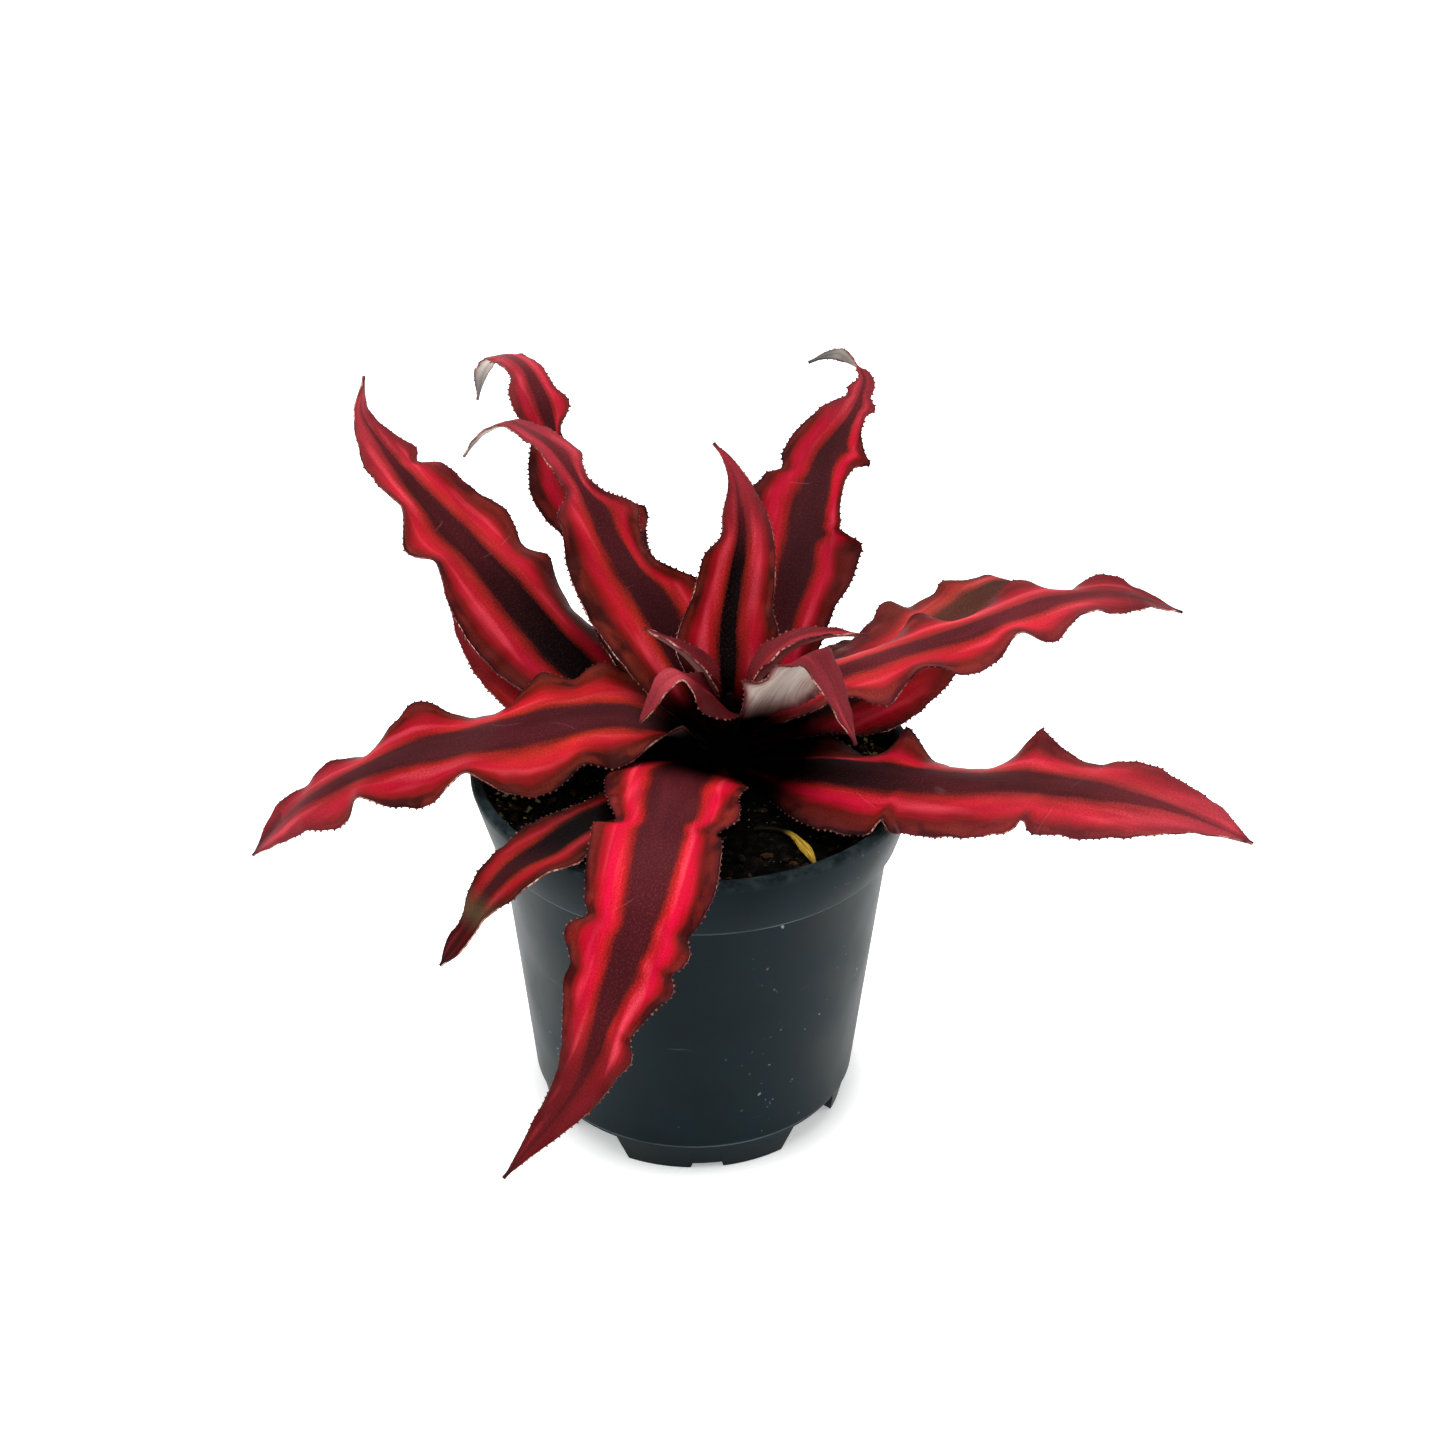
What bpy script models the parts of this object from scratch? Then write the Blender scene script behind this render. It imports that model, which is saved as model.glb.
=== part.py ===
"""Potted red star cryptanthus: a bromeliad rosette with banded, wavy, spiny leaves in a nursery pot.

All sizes below are in millimetres and are drawn about the pot's own axis, with the floor at z = 0.
The front of the plant, where one long leaf hangs over the rim, is at -Y, and +X is to its right.
One empty carries every piece and moves that drawing so that the whole plant is centred over the origin.
"""

from dataclasses import dataclass
import math

import bmesh
import bpy
import numpy as np

MM = 0.001
GAP = 0.3

# The middle of the whole plant, seen from above, on the pot's drawing
PLANT_MIDDLE = (7.25, 18.6)

# Pot: a 10.5 cm nursery pot
POT_HEIGHT = 92.0
RIM_RADIUS = 52.5
RIM_BAND_HEIGHT = 16.0
RIM_BAND_FOOT_RADIUS = 48.6
BODY_TOP_RADIUS = 46.5
SEAM_HEIGHT = 7.5
SEAM_RADIUS = 39.4
FOOT_RADIUS = 37.4
WALL = 1.6
LIP_WIDTH = 2.6
FLOOR_THICKNESS = 1.6
SKIRT_WIDTH = 2.4
FOOT_COUNT = 4
FOOT_GAP_FIRST = -40.0
FOOT_GAP_WIDTH = (21.0, 15.5)
FOOT_GAP_HEIGHT = 6.9
FOOT_NOTCH = (9.0, 1.6)
DRAIN_RADIUS = 4.0
DRAIN_AT = 29.0
POT_STEPS = 64

# Soil
SOIL_HEIGHT = 85.0
SOIL_STEPS = 48
SOIL_LUMP = 0.5

# Crown: where the leaves grow from, a little to the right of the pot's axis
CROWN = (8.0, 3.0)
STEM_FOOT = 72.0
STEM_PROFILE = ((4.6, 72.0), (4.6, 92.0), (4.3, 96.0), (3.9, 99.5), (2.9, 103.0), (1.8, 106.0), (0.7, 108.0))
STEM_HOLE_RADIUS = 5.0

# Leaves
LEAF_THICKNESS = 0.8
TOOTH_LENGTH = 0.9
TOOTH_LEAN = 0.75
TIP_HALF_WIDTH = 0.4
SPINE_SAMPLES = 400

# Colours from the photograph: red, green and blue (linear), roughness
LEAF_RED = (0.36, 0.018, 0.030, 0.42)
LEAF_INNER = (0.22, 0.020, 0.028, 0.45)
LEAF_DEAD = (0.46, 0.30, 0.07, 0.75)
POT_PLASTIC = (0.012, 0.017, 0.024, 0.38)
SOIL_PEAT = (0.012, 0.009, 0.007, 0.95)
STEM_BROWN = (0.060, 0.022, 0.014, 0.80)


@dataclass
class Leaf:
    """One leaf.

    midrib: (azimuth in degrees, distance out from the root, height), from the base to the tip.
    left, right: (place along the leaf from 0 to 1, half width, lift of the margin off the blade).
    roll: (place along, degrees), which lifts the left margin. cup: channel depth over half width.
    """

    name: str
    midrib: tuple
    left: tuple
    right: tuple
    roll: tuple = ((0, 0), (1, 0))
    cup: float = 0.0
    root: tuple = CROWN
    along: int = 30
    across: int = 4
    look: tuple = LEAF_RED
    teeth: bool = True


LEAVES = (
    Leaf(
        "leaf_left_back",
        midrib=((160, 5.3, 91.1), (153, 22, 93), (147, 43, 102), (146, 68, 119), (146, 94, 137),
                (146, 104, 146), (147, 107, 153), (147, 105, 163)),
        roll=((0, -10), (0.45, -14), (0.65, 4), (1, 4)),
        left=((0, 3.5, 0), (0.12, 10, 0), (0.3, 15, 0.5), (0.42, 17, -1.5), (0.53, 16.5, 0),
              (0.6, 14.5, 2.5), (0.66, 15.5, -2), (0.71, 12, 2), (0.8, 9.5, -0.5), (0.87, 7.5, 0),
              (0.93, 2.5, 0), (1, 0, 0)),
        right=((0, 3.5, 0), (0.12, 10, 0), (0.3, 14, -4), (0.4, 13, -6), (0.46, 14.5, -4.5),
               (0.51, 16.5, -1), (0.55, 15, -2.5), (0.61, 17, 1.5), (0.7, 16.5, 0.5), (0.77, 13.5, 2),
               (0.815, 11, -2.5), (0.84, 10.5, 1), (0.885, 6, -1), (0.93, 4, 0), (1, 0, 0)),
    ),
    Leaf(
        "leaf_back_tall",
        midrib=((120, 5.3, 92.8), (120, 20, 96), (120, 40, 106), (120, 60, 119), (120, 75, 130.5),
                (120, 87, 141), (120, 94, 149), (120, 100, 152), (120, 106.5, 153), (120, 114, 152),
                (120, 122, 149), (120, 129, 143), (120, 134, 133)),
        left=((0, 3.5, 0), (0.12, 10, 0), (0.3, 13, 1), (0.38, 11.6, 0), (0.43, 9, -1),
              (0.47, 12, 0.5), (0.51, 13, 0), (0.57, 10, -1), (0.62, 7, 0), (0.66, 9.5, 1),
              (0.69, 9, 0.5), (0.73, 5.5, 0), (0.78, 5.5, 0), (0.82, 5, 0), (0.86, 3.5, 0),
              (0.92, 3, 0), (1, 0, 0)),
        right=((0, 3.5, 0), (0.12, 10, 0), (0.3, 10, 3), (0.37, 9.5, 3), (0.41, 11.5, 1), (0.45, 14.5, 0),
               (0.5, 12, 1), (0.55, 8, 1.5), (0.62, 1.5, 1), (0.655, 6, 0.5), (0.69, 4, 0),
               (0.72, 4, 0), (0.76, 4, 0), (0.82, 3, 0), (0.9, 2.5, 0), (1, 0, 0)),
        along=34,
    ),
    Leaf(
        "leaf_back_curled",
        midrib=((128, 5.1, 95.6), (130, 12, 105), (130, 20.5, 112.6), (130, 30, 121), (130, 41, 129),
                (130, 51.5, 137.5), (130, 62, 144.5), (130, 68, 147), (130, 76, 148), (130, 84, 148),
                (130, 93, 143.5), (130, 100, 138), (130, 105, 132)),
        left=((0, 3.5, 0), (0.1, 12.5, 0), (0.2, 16.5, 1), (0.28, 17, -0.5), (0.35, 17.2, 1),
              (0.41, 14, -1), (0.48, 11, 0.5), (0.51, 9.5, 0), (0.54, 4.5, -0.5), (0.58, 4.5, 0.5),
              (0.63, 3.5, 0), (0.8, 2.5, 0), (1, 0, 0)),
        right=((0, 3, 0), (0.04, 4.5, 0.5), (0.1, 10, 3), (0.2, 14.5, 3), (0.28, 14, 2),
               (0.34, 6.5, 3), (0.385, 6.5, 1), (0.44, 9.5, 0), (0.48, 13, -2), (0.515, 5.5, 1),
               (0.545, 2.5, 2), (0.58, 3.5, 1), (0.635, 8, -2), (0.68, 5.5, 0), (0.8, 3, 0),
               (0.9, 2, 0), (1, 0, 0)),
        along=34,
    ),
    Leaf(
        "leaf_upright",
        midrib=((97, 4.7, 100.5), (95, 9, 109.5), (94, 12, 114), (91, 16, 120.5), (87, 20, 126.5),
                (85, 24, 133), (85, 27, 138), (86, 28.5, 143), (88, 29.5, 149), (92, 30.5, 153.5),
                (97, 32.5, 157)),
        cup=0.35,
        left=((0, 3.5, 0), (0.1, 8, 0), (0.22, 12, 0), (0.3, 11, -1), (0.38, 9, 1), (0.47, 8.5, -0.5),
              (0.56, 7.5, 0.5), (0.63, 4.5, 0), (0.72, 4, 0), (0.83, 1.8, 0), (1, 0, 0)),
        right=((0, 3.5, 0), (0.1, 8, 0), (0.22, 12, 0), (0.32, 11.5, 1), (0.4, 10, -1), (0.5, 9.5, 0.5),
               (0.6, 8.5, -0.5), (0.7, 7, 0), (0.78, 5, 0), (0.87, 2.5, 0), (1, 0, 0)),
        along=24,
    ),
    Leaf(
        "leaf_right_back",
        midrib=((64, 4.8, 97), (64, 20, 107), (64.5, 37, 123.5), (66.5, 49, 135), (67.5, 60, 143.5),
                (65, 75, 152), (65, 79, 157), (67, 82, 159), (70, 83, 161), (73, 84, 160), (76, 83, 158)),
        roll=((0, 5), (0.4, 10), (1, 10)),
        left=((0, 3, 0), (0.06, 4.5, -1), (0.15, 9.5, -2), (0.3, 14, 0), (0.45, 15, 0), (0.53, 14.5, 0.5),
              (0.57, 11.5, -0.5), (0.62, 10, -0.5), (0.7, 8, 0), (0.76, 8, 0), (0.82, 3, 0),
              (0.88, 2, 0), (1, 0, 0)),
        right=((0, 3.5, 0), (0.15, 9, -5), (0.27, 11.5, -1), (0.34, 11.5, 1), (0.4, 12.5, 0),
               (0.435, 14.5, -2), (0.46, 9, 1), (0.5, 6, 2), (0.54, 6, 2), (0.58, 8, 1),
               (0.645, 11.5, -2), (0.68, 7, 1), (0.72, 5, 0.5), (0.76, 4, -0.5), (0.79, 4.5, 0),
               (0.83, 2.5, 0), (0.9, 2, 0), (1, 0, 0)),
    ),
    Leaf(
        "leaf_right_long",
        midrib=((16, 4.9, 99.2), (16, 14, 105), (16, 27, 110), (16, 46, 114), (17, 66, 118), (18, 83, 120),
                (18, 98, 119), (18, 117, 111)),
        cup=-0.12,
        left=((0, 3.5, 0), (0.12, 9, 2), (0.2, 11, -2), (0.27, 12, -5), (0.36, 13, -3.5),
              (0.44, 13.5, 1), (0.485, 12, -5), (0.56, 12.5, -4), (0.66, 12, 2), (0.74, 9, -3.5),
              (0.81, 8, 2), (0.9, 5, 1.5), (1, 0, 0)),
        right=((0, 3.5, 0), (0.12, 10, 1), (0.19, 10, 1), (0.26, 13, -3), (0.35, 12, 3), (0.45, 14, -2),
               (0.51, 13, 0), (0.555, 11, 2.5), (0.61, 12.5, -1.5), (0.72, 9, 1.5), (0.8, 8, -0.5),
               (0.9, 4.5, 0.5), (1, 0, 0)),
    ),
    Leaf(
        "leaf_right_under",
        midrib=((34, 5.2, 93.8), (34, 24, 98.2), (34, 48, 103), (34, 66, 108), (34, 79, 113), (34, 88, 113),
                (34, 96, 109)),
        left=((0, 3.5, 0), (0.15, 11, 0), (0.3, 15, -2), (0.42, 15.5, -2.5), (0.6, 17.5, 1.5),
              (0.65, 14.5, -2), (0.72, 11, 0.5), (0.8, 8, 1), (0.9, 5, 0), (1, 0, 0)),
        right=((0, 3.5, 0), (0.15, 12, 0), (0.27, 18, -3), (0.42, 18, -3), (0.55, 15, -2),
               (0.65, 14, 1), (0.76, 12, -1), (0.83, 9, 1), (0.92, 5, 0), (1, 0, 0)),
        along=24,
    ),
    Leaf(
        "leaf_right_low",
        midrib=((-27, 5.3, 90.5), (-27, 20, 94.8), (-27, 38, 96.9), (-27, 57, 100), (-27, 75, 105),
                (-27, 93, 107), (-27, 106, 107), (-27, 124, 104)),
        cup=-0.1,
        left=((0, 3.5, 0), (0.13, 12, 2), (0.22, 15, -4), (0.28, 15.5, 4.5), (0.36, 16, -3.5),
              (0.48, 15.5, -2), (0.54, 15.5, 7), (0.65, 14, 0), (0.7, 14, 1), (0.76, 13.5, 3),
              (0.84, 10.5, 2), (0.92, 6, 2), (1, 0, 0)),
        right=((0, 3.5, 0), (0.13, 15, -3), (0.22, 19, -3), (0.3, 18.5, -3), (0.345, 16, -1),
               (0.39, 16.5, -2), (0.5, 16, -3), (0.6, 15, 0), (0.66, 14.5, -2), (0.77, 12.5, -1.5),
               (0.86, 8, 0), (0.94, 3.5, 1), (1, 0, 0)),
    ),
    Leaf(
        "leaf_left_long",
        midrib=((187, 5.2, 94.1), (185, 14, 99), (184, 23, 103), (184, 35, 103), (184, 50, 100),
                (184, 62, 97), (184, 74, 95), (184, 87, 90), (184, 99, 83), (184, 113, 68)),
        left=((0, 3.5, 0), (0.08, 6, 1), (0.13, 14, 1), (0.17, 15, 0), (0.21, 16, -5), (0.25, 17, -2.5),
              (0.33, 18.5, -7), (0.42, 18.5, -5), (0.48, 16.5, 1.5), (0.57, 16.5, -5), (0.66, 14.5, -3),
              (0.7, 13, 0.5), (0.75, 13, -4), (0.84, 9.5, -2.5), (0.93, 5, -1), (1, 0, 0)),
        right=((0, 3.5, 0), (0.1, 12, 1), (0.15, 14, 2), (0.21, 16, 5), (0.28, 16.5, 1), (0.33, 17, 4),
               (0.38, 16, 0), (0.45, 15, -3), (0.51, 15, -1), (0.58, 15, 4.5), (0.63, 13.5, 2),
               (0.7, 11, -2.5), (0.78, 9.5, 1), (0.83, 8, 0), (0.91, 5.5, 2), (1, 0, 0)),
    ),
    Leaf(
        "leaf_front",
        midrib=((235, 5.4, 91), (242, 22, 98.5), (251, 40, 101.5), (253, 56, 98.5), (253, 65, 91),
                (252, 71, 83), (250, 77, 71), (247, 84, 55), (243, 90, 44), (240, 98, 36)),
        left=((0, 3.5, 0), (0.1, 12, 0), (0.2, 16, 0), (0.31, 16, 0.5), (0.335, 13, -1), (0.38, 14, 1),
              (0.45, 14.5, 0), (0.5, 13, -1), (0.55, 12.5, 1.5), (0.585, 10, -1), (0.62, 9.5, 1),
              (0.7, 7.5, -1), (0.74, 7.5, 1), (0.82, 5, 0), (0.93, 2, 0), (1, 0, 0)),
        right=((0, 3.5, 0), (0.1, 13, -2), (0.15, 17, -3), (0.2, 16, -4), (0.28, 14, -0.5), (0.33, 12.5, -1),
               (0.37, 15, 1), (0.43, 14, -0.5), (0.52, 12, -1), (0.565, 13, 1.5), (0.63, 10.5, -0.5),
               (0.7, 8, 0.5), (0.8, 6, -0.5), (0.9, 3.5, 0), (1, 0, 0)),
    ),
    Leaf(
        "leaf_left_front",
        midrib=((228, 5.4, 88), (230, 30, 91.5), (230, 51, 95), (230, 61, 95.5), (229, 71, 95),
                (228, 78, 91), (228, 85, 85), (227, 91, 79)),
        cup=0.25,
        left=((0, 3, 0), (0.24, 7.5, 1), (0.44, 7, -0.5), (0.55, 7, -1.5), (0.62, 9, -1), (0.71, 7.5, -0.5),
              (0.79, 5.5, -1), (0.86, 4, 0), (0.93, 2.5, 0), (1, 0, 0)),
        right=((0, 3, 0), (0.24, 8, 0), (0.48, 8.5, -1), (0.6, 8.5, 0), (0.7, 7, -1), (0.78, 5.5, 0),
               (0.86, 4, -0.5), (0.93, 2.5, 0), (1, 0, 0)),
        along=22,
    ),
    Leaf(
        "leaf_left_under",
        midrib=((165, 5.4, 89.3), (158, 22, 89.4), (154, 38, 91.8), (152, 53, 96.5), (151, 67, 103),
                (150, 80, 113)),
        left=((0, 3.5, 0), (0.2, 10, 0), (0.4, 13, -1), (0.6, 13, -0.5), (0.8, 8, -1), (1, 0, 0)),
        right=((0, 3.5, 0), (0.2, 8, 1.5), (0.4, 8, 1.5), (0.6, 8, 1.5), (0.8, 6, 1), (1, 0, 0)),
        along=18,
    ),
    Leaf(
        "leaf_inner_left",
        midrib=((229, 4.3, 101), (225.5, 7.8, 113), (216.5, 13.5, 119), (214, 17.5, 119),
                (212.3, 21.4, 114), (211.4, 24.4, 107)),
        left=((0, 2.5, 0), (0.3, 6.5, 1), (0.55, 7, -1), (0.8, 3.5, 0), (1, 0, 0)),
        right=((0, 2.5, 0), (0.3, 3.2, 0.5), (0.55, 4.5, 1), (0.8, 3.5, 0), (1, 0, 0)),
        along=14,
        look=LEAF_INNER,
    ),
    Leaf(
        "leaf_inner_right",
        midrib=((-58, 4.7, 99), (-54.5, 10.7, 111), (-50.6, 15.6, 119), (-48, 21.5, 126),
                (-46.8, 27.5, 132.5), (-46.2, 31.5, 130), (-45.8, 35, 122), (-45.4, 39.5, 111)),
        cup=0.2,
        left=((0, 2.5, 0), (0.2, 7.5, 0), (0.4, 9, 1), (0.6, 8, -1), (0.75, 4, 0), (1, 0, 0)),
        right=((0, 2.5, 0), (0.2, 7.5, 0), (0.4, 9, -1), (0.6, 8, 1), (0.75, 4, 0), (1, 0, 0)),
        along=18,
        look=LEAF_INNER,
    ),
    Leaf(
        "leaf_inner_folded",
        midrib=((-25, 4.3, 103.5), (-12.8, 7, 112.5), (-3.2, 10.7, 117), (2.3, 15.6, 120.5),
                (6.3, 23.5, 122), (8.4, 32.4, 121)),
        cup=0.8,
        left=((0, 2, 0), (0.3, 4.5, 0), (0.6, 3, 0), (0.85, 1, 0), (1, 0, 0)),
        right=((0, 2, 0), (0.3, 4.5, 0), (0.6, 3, 0), (0.85, 1, 0), (1, 0, 0)),
        along=12,
        across=2,
        look=LEAF_INNER,
    ),
    Leaf(
        "leaf_inner_spike",
        midrib=((172, 3.3, 104.2), (172, 5.1, 111), (172, 8, 115.3), (172, 11, 118.2), (172, 19, 123.2)),
        root=(7.0, 3.8),
        cup=0.9,
        left=((0, 2, 0), (0.3, 3.5, 0), (0.7, 1.5, 0), (1, 0, 0)),
        right=((0, 2, 0), (0.3, 3.5, 0), (0.7, 1.5, 0), (1, 0, 0)),
        along=8,
        across=2,
        look=LEAF_INNER,
    ),
    Leaf(
        "leaf_rear_right",
        midrib=((48, 5.4, 89.5), (48, 22, 90.2), (48, 40, 94.6), (48, 52, 95.6), (48, 64, 93), (48, 78, 84),
                (48, 87, 74)),
        left=((0, 3.5, 0), (0.2, 9, -0.5), (0.4, 11.5, -1), (0.55, 12, 0), (0.75, 9, -1), (1, 0, 0)),
        right=((0, 3.5, 0), (0.2, 10, -1), (0.4, 12, 0), (0.6, 12, -2), (0.8, 7, 0), (1, 0, 0)),
        along=20,
    ),
    Leaf(
        "leaf_rear",
        midrib=((82, 5.3, 91.3), (82, 22, 91.8), (82, 36, 95), (82, 50, 98), (81, 70, 98), (80, 95, 91),
                (80, 108, 84)),
        left=((0, 3.5, 0), (0.2, 11, 0), (0.38, 13, 1), (0.5, 13, -1.5), (0.62, 13, 1.5), (0.78, 9, -1),
              (1, 0, 0)),
        right=((0, 3.5, 0), (0.2, 10, 1), (0.34, 12, 0), (0.46, 12, 1), (0.6, 12, -1.5), (0.75, 9, 1),
               (1, 0, 0)),
        along=24,
    ),
    Leaf(
        "leaf_rear_low",
        midrib=((104, 5.4, 86.7), (104, 22, 87.2), (104, 34, 90), (104, 45, 93.4), (104, 58, 95),
                (104, 72, 93), (105, 88, 86), (106, 99, 77)),
        left=((0, 3.5, 0), (0.2, 9, -1), (0.4, 11, -0.5), (0.6, 11, 1), (0.8, 7, -1), (1, 0, 0)),
        right=((0, 3.5, 0), (0.2, 9, -1), (0.4, 11, 0), (0.6, 11, -1), (0.8, 7, 1), (1, 0, 0)),
        along=20,
    ),
    Leaf(
        "leaf_rear_left",
        midrib=((132, 5.4, 88), (132, 22, 88.6), (132, 34, 90.4), (132, 45, 93.4), (132, 58, 94.8),
                (132, 70, 93), (132, 84, 87), (132, 95, 78)),
        left=((0, 3.5, 0), (0.2, 8, -1.5), (0.4, 9, -1.5), (0.6, 10.5, 0), (0.8, 8, 0), (1, 0, 0)),
        right=((0, 3.5, 0), (0.2, 9, 1.5), (0.4, 10.5, 1), (0.6, 10, 0), (0.8, 7, 1), (1, 0, 0)),
        along=20,
    ),
    Leaf(
        "leaf_dead",
        midrib=((-5, 0.5, 86.4), (-8, 4.1, 86.8), (-20, 9, 87), (-37, 14.6, 86.8), (-48, 21, 86.6)),
        root=(13.0, -21.0),
        cup=0.3,
        left=((0, 0.8, 0), (0.3, 1.8, 0), (0.7, 1.4, 0), (1, 0, 0)),
        right=((0, 0.8, 0), (0.3, 1.6, 0), (0.7, 1.4, 0), (1, 0, 0)),
        along=8,
        across=2,
        look=LEAF_DEAD,
        teeth=False,
    ),
)


def clear_scene():
    for old in list(bpy.data.objects):
        bpy.data.objects.remove(old, do_unlink=True)


def new_collection(name):
    made = bpy.data.collections.new(name)
    bpy.context.scene.collection.children.link(made)
    return made


def material(name, look):
    red, green, blue, roughness = look
    made = bpy.data.materials.new(name)
    made.use_nodes = True
    made.diffuse_color = (red, green, blue, 1)
    shader = made.node_tree.nodes["Principled BSDF"]
    shader.inputs["Base Color"].default_value = (red, green, blue, 1)
    shader.inputs["Roughness"].default_value = roughness
    shader.inputs["Metallic"].default_value = 0.0
    return made


def new_object(name, mesh, collection, parent, look):
    made = bpy.data.objects.new(name, mesh)
    collection.objects.link(made)
    made.parent = parent
    made.data.materials.append(material(name, look))
    return made


def smooth(rows, places):
    """The rows' values at the places along, on a cubic that meets every row and has no corner."""
    rows = np.asarray(rows, float)
    at, values = rows[:, 0], rows[:, 1:]
    slopes = np.gradient(values, at, axis=0)
    places = np.clip(places, at[0], at[-1])
    i = np.clip(np.searchsorted(at, places, side="right") - 1, 0, len(at) - 2)
    step = (at[i + 1] - at[i])[:, None]
    u = (places - at[i])[:, None] / step
    start = (1 + 2 * u) * (1 - u) ** 2 * values[i] + u * (1 - u) ** 2 * step * slopes[i]
    end = u * u * (3 - 2 * u) * values[i + 1] + u * u * (u - 1) * step * slopes[i + 1]
    return start + end


def lengths_along(points):
    steps = np.linalg.norm(np.diff(points, axis=0), axis=1)
    return np.concatenate([[0.0], np.cumsum(steps)])


def unit(vectors):
    return vectors / np.linalg.norm(vectors, axis=1)[:, None]


def midrib_frames(leaf, along):
    """Points of the midrib at the places along, with the directions to the left and up off the blade."""
    azimuth, out, height = np.array(leaf.midrib, float).T
    turn = np.radians(azimuth)
    points = np.stack([leaf.root[0] + out * np.cos(turn), leaf.root[1] + out * np.sin(turn), height], 1)
    stations = lengths_along(points)
    fine = np.linspace(0, stations[-1], SPINE_SAMPLES)
    curve = smooth(np.column_stack([stations, points, azimuth]), fine)
    path, heading = curve[:, :3], np.radians(curve[:, 3])
    travelled = lengths_along(path)
    wanted = along * travelled[-1]

    def read(columns):
        return np.stack([np.interp(wanted, travelled, column) for column in columns.T], 1)

    forward = unit(read(np.gradient(path, travelled, axis=0)))
    sideways = read(np.stack([-np.sin(heading), np.cos(heading), 0 * heading], 1))
    sideways = unit(sideways - (sideways * forward).sum(1)[:, None] * forward)
    upward = np.cross(forward, sideways)
    roll = np.radians(smooth(leaf.roll, along))
    left = np.cos(roll) * sideways + np.sin(roll) * upward
    up = np.cos(roll) * upward - np.sin(roll) * sideways
    return read(path), left, up


def blade_points(leaf, along, across):
    """Points of the blade's middle surface: along from 0 to 1, across from -1, right, to 1, left."""
    middle, left, up = midrib_frames(leaf, along)
    on_left = (across > 0)[:, None]
    margin = np.where(on_left, smooth(leaf.left, along), smooth(leaf.right, along))
    half_width = np.maximum(margin[:, 0], TIP_HALF_WIDTH)
    lift = margin[:, 1]
    side = np.abs(across)
    rise = leaf.cup * half_width * side**1.4 + lift * side**2.6
    return middle + left * (half_width * across)[:, None] + up * rise[:, None]


def leaf_mesh(leaf):
    mesh = bmesh.new()
    bmesh.ops.create_grid(mesh, x_segments=leaf.along, y_segments=leaf.across, size=1.0)
    bmesh.ops.triangulate(mesh, faces=mesh.faces[:], quad_method="FIXED")
    flat = np.array([vertex.co for vertex in mesh.verts])
    along, across = (flat[:, 0] + 1) / 2, flat[:, 1]
    placed = blade_points(leaf, along, across)
    margins = [edge for edge in mesh.edges if edge.is_boundary]
    margins = [edge for edge in margins if abs(edge.verts[0].co.y) > 0.99 and abs(edge.verts[1].co.y) > 0.99]
    margins = [edge for edge in margins if edge.verts[0].co.y * edge.verts[1].co.y > 0]
    spines = []
    for edge in margins if leaf.teeth else ():
        back, front = sorted((vertex.index for vertex in edge.verts), key=lambda i: along[i])
        if along[back] < 0.1 or along[front] > 0.99:
            continue
        spines.append((back, front, edge))
    for vertex, point in zip(mesh.verts, placed):
        vertex.co = point * MM
    mesh.verts.ensure_lookup_table()
    for back, front, edge in spines:
        start, end = placed[back], placed[front]
        face = edge.link_faces[0]
        third = next(vertex for vertex in face.verts if vertex.index not in (back, front))
        run = end - start
        outward = start - placed[third.index]
        outward = outward - run * (outward @ run) / (run @ run)
        outward = outward / np.linalg.norm(outward)
        tip = start + run * TOOTH_LEAN + outward * TOOTH_LENGTH
        point = mesh.verts.new(tip * MM)
        loop = next(loop for loop in face.loops if loop.edge == edge)
        mesh.faces.new((loop.link_loop_next.vert, loop.vert, point))
    made = bpy.data.meshes.new(leaf.name)
    mesh.to_mesh(made)
    mesh.free()
    return made


def build_leaf(leaf, collection, parent):
    made = new_object(leaf.name, leaf_mesh(leaf), collection, parent, leaf.look)
    wall = made.modifiers.new("blade", "SOLIDIFY")
    wall.thickness = LEAF_THICKNESS * MM
    wall.offset = 0.0
    return made


def turned_object(name, profile, steps, collection, parent, look):
    """A profile of (radius, height) points in millimetres, from the axis round to the axis, turned."""
    mesh = bpy.data.meshes.new(name)
    points = [(radius * MM, 0.0, height * MM) for radius, height in profile]
    mesh.from_pydata(points, [(i, i + 1) for i in range(len(points) - 1)], [])
    made = new_object(name, mesh, collection, parent, look)
    screw = made.modifiers.new("turn", "SCREW")
    screw.steps = steps
    screw.render_steps = steps
    screw.use_merge_vertices = True
    screw.merge_threshold = 0.00001
    return made


def cutter(name, mesh, collection, parent):
    made = bpy.data.objects.new(name, mesh)
    collection.objects.link(made)
    made.parent = parent
    made.hide_render = True
    made.display_type = "WIRE"
    return made


def cylinder_mesh(name, radius, low, high, segments, centre=(0.0, 0.0)):
    mesh = bmesh.new()
    bmesh.ops.create_cone(
        mesh,
        cap_ends=True,
        segments=segments,
        radius1=radius * MM,
        radius2=radius * MM,
        depth=(high - low) * MM,
    )
    bmesh.ops.translate(mesh, verts=mesh.verts, vec=(centre[0] * MM, centre[1] * MM, (low + high) / 2 * MM))
    made = bpy.data.meshes.new(name)
    mesh.to_mesh(made)
    mesh.free()
    return made


def cut(made, tool):
    difference = made.modifiers.new("cut " + tool.name, "BOOLEAN")
    difference.operation = "DIFFERENCE"
    difference.object = tool


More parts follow.
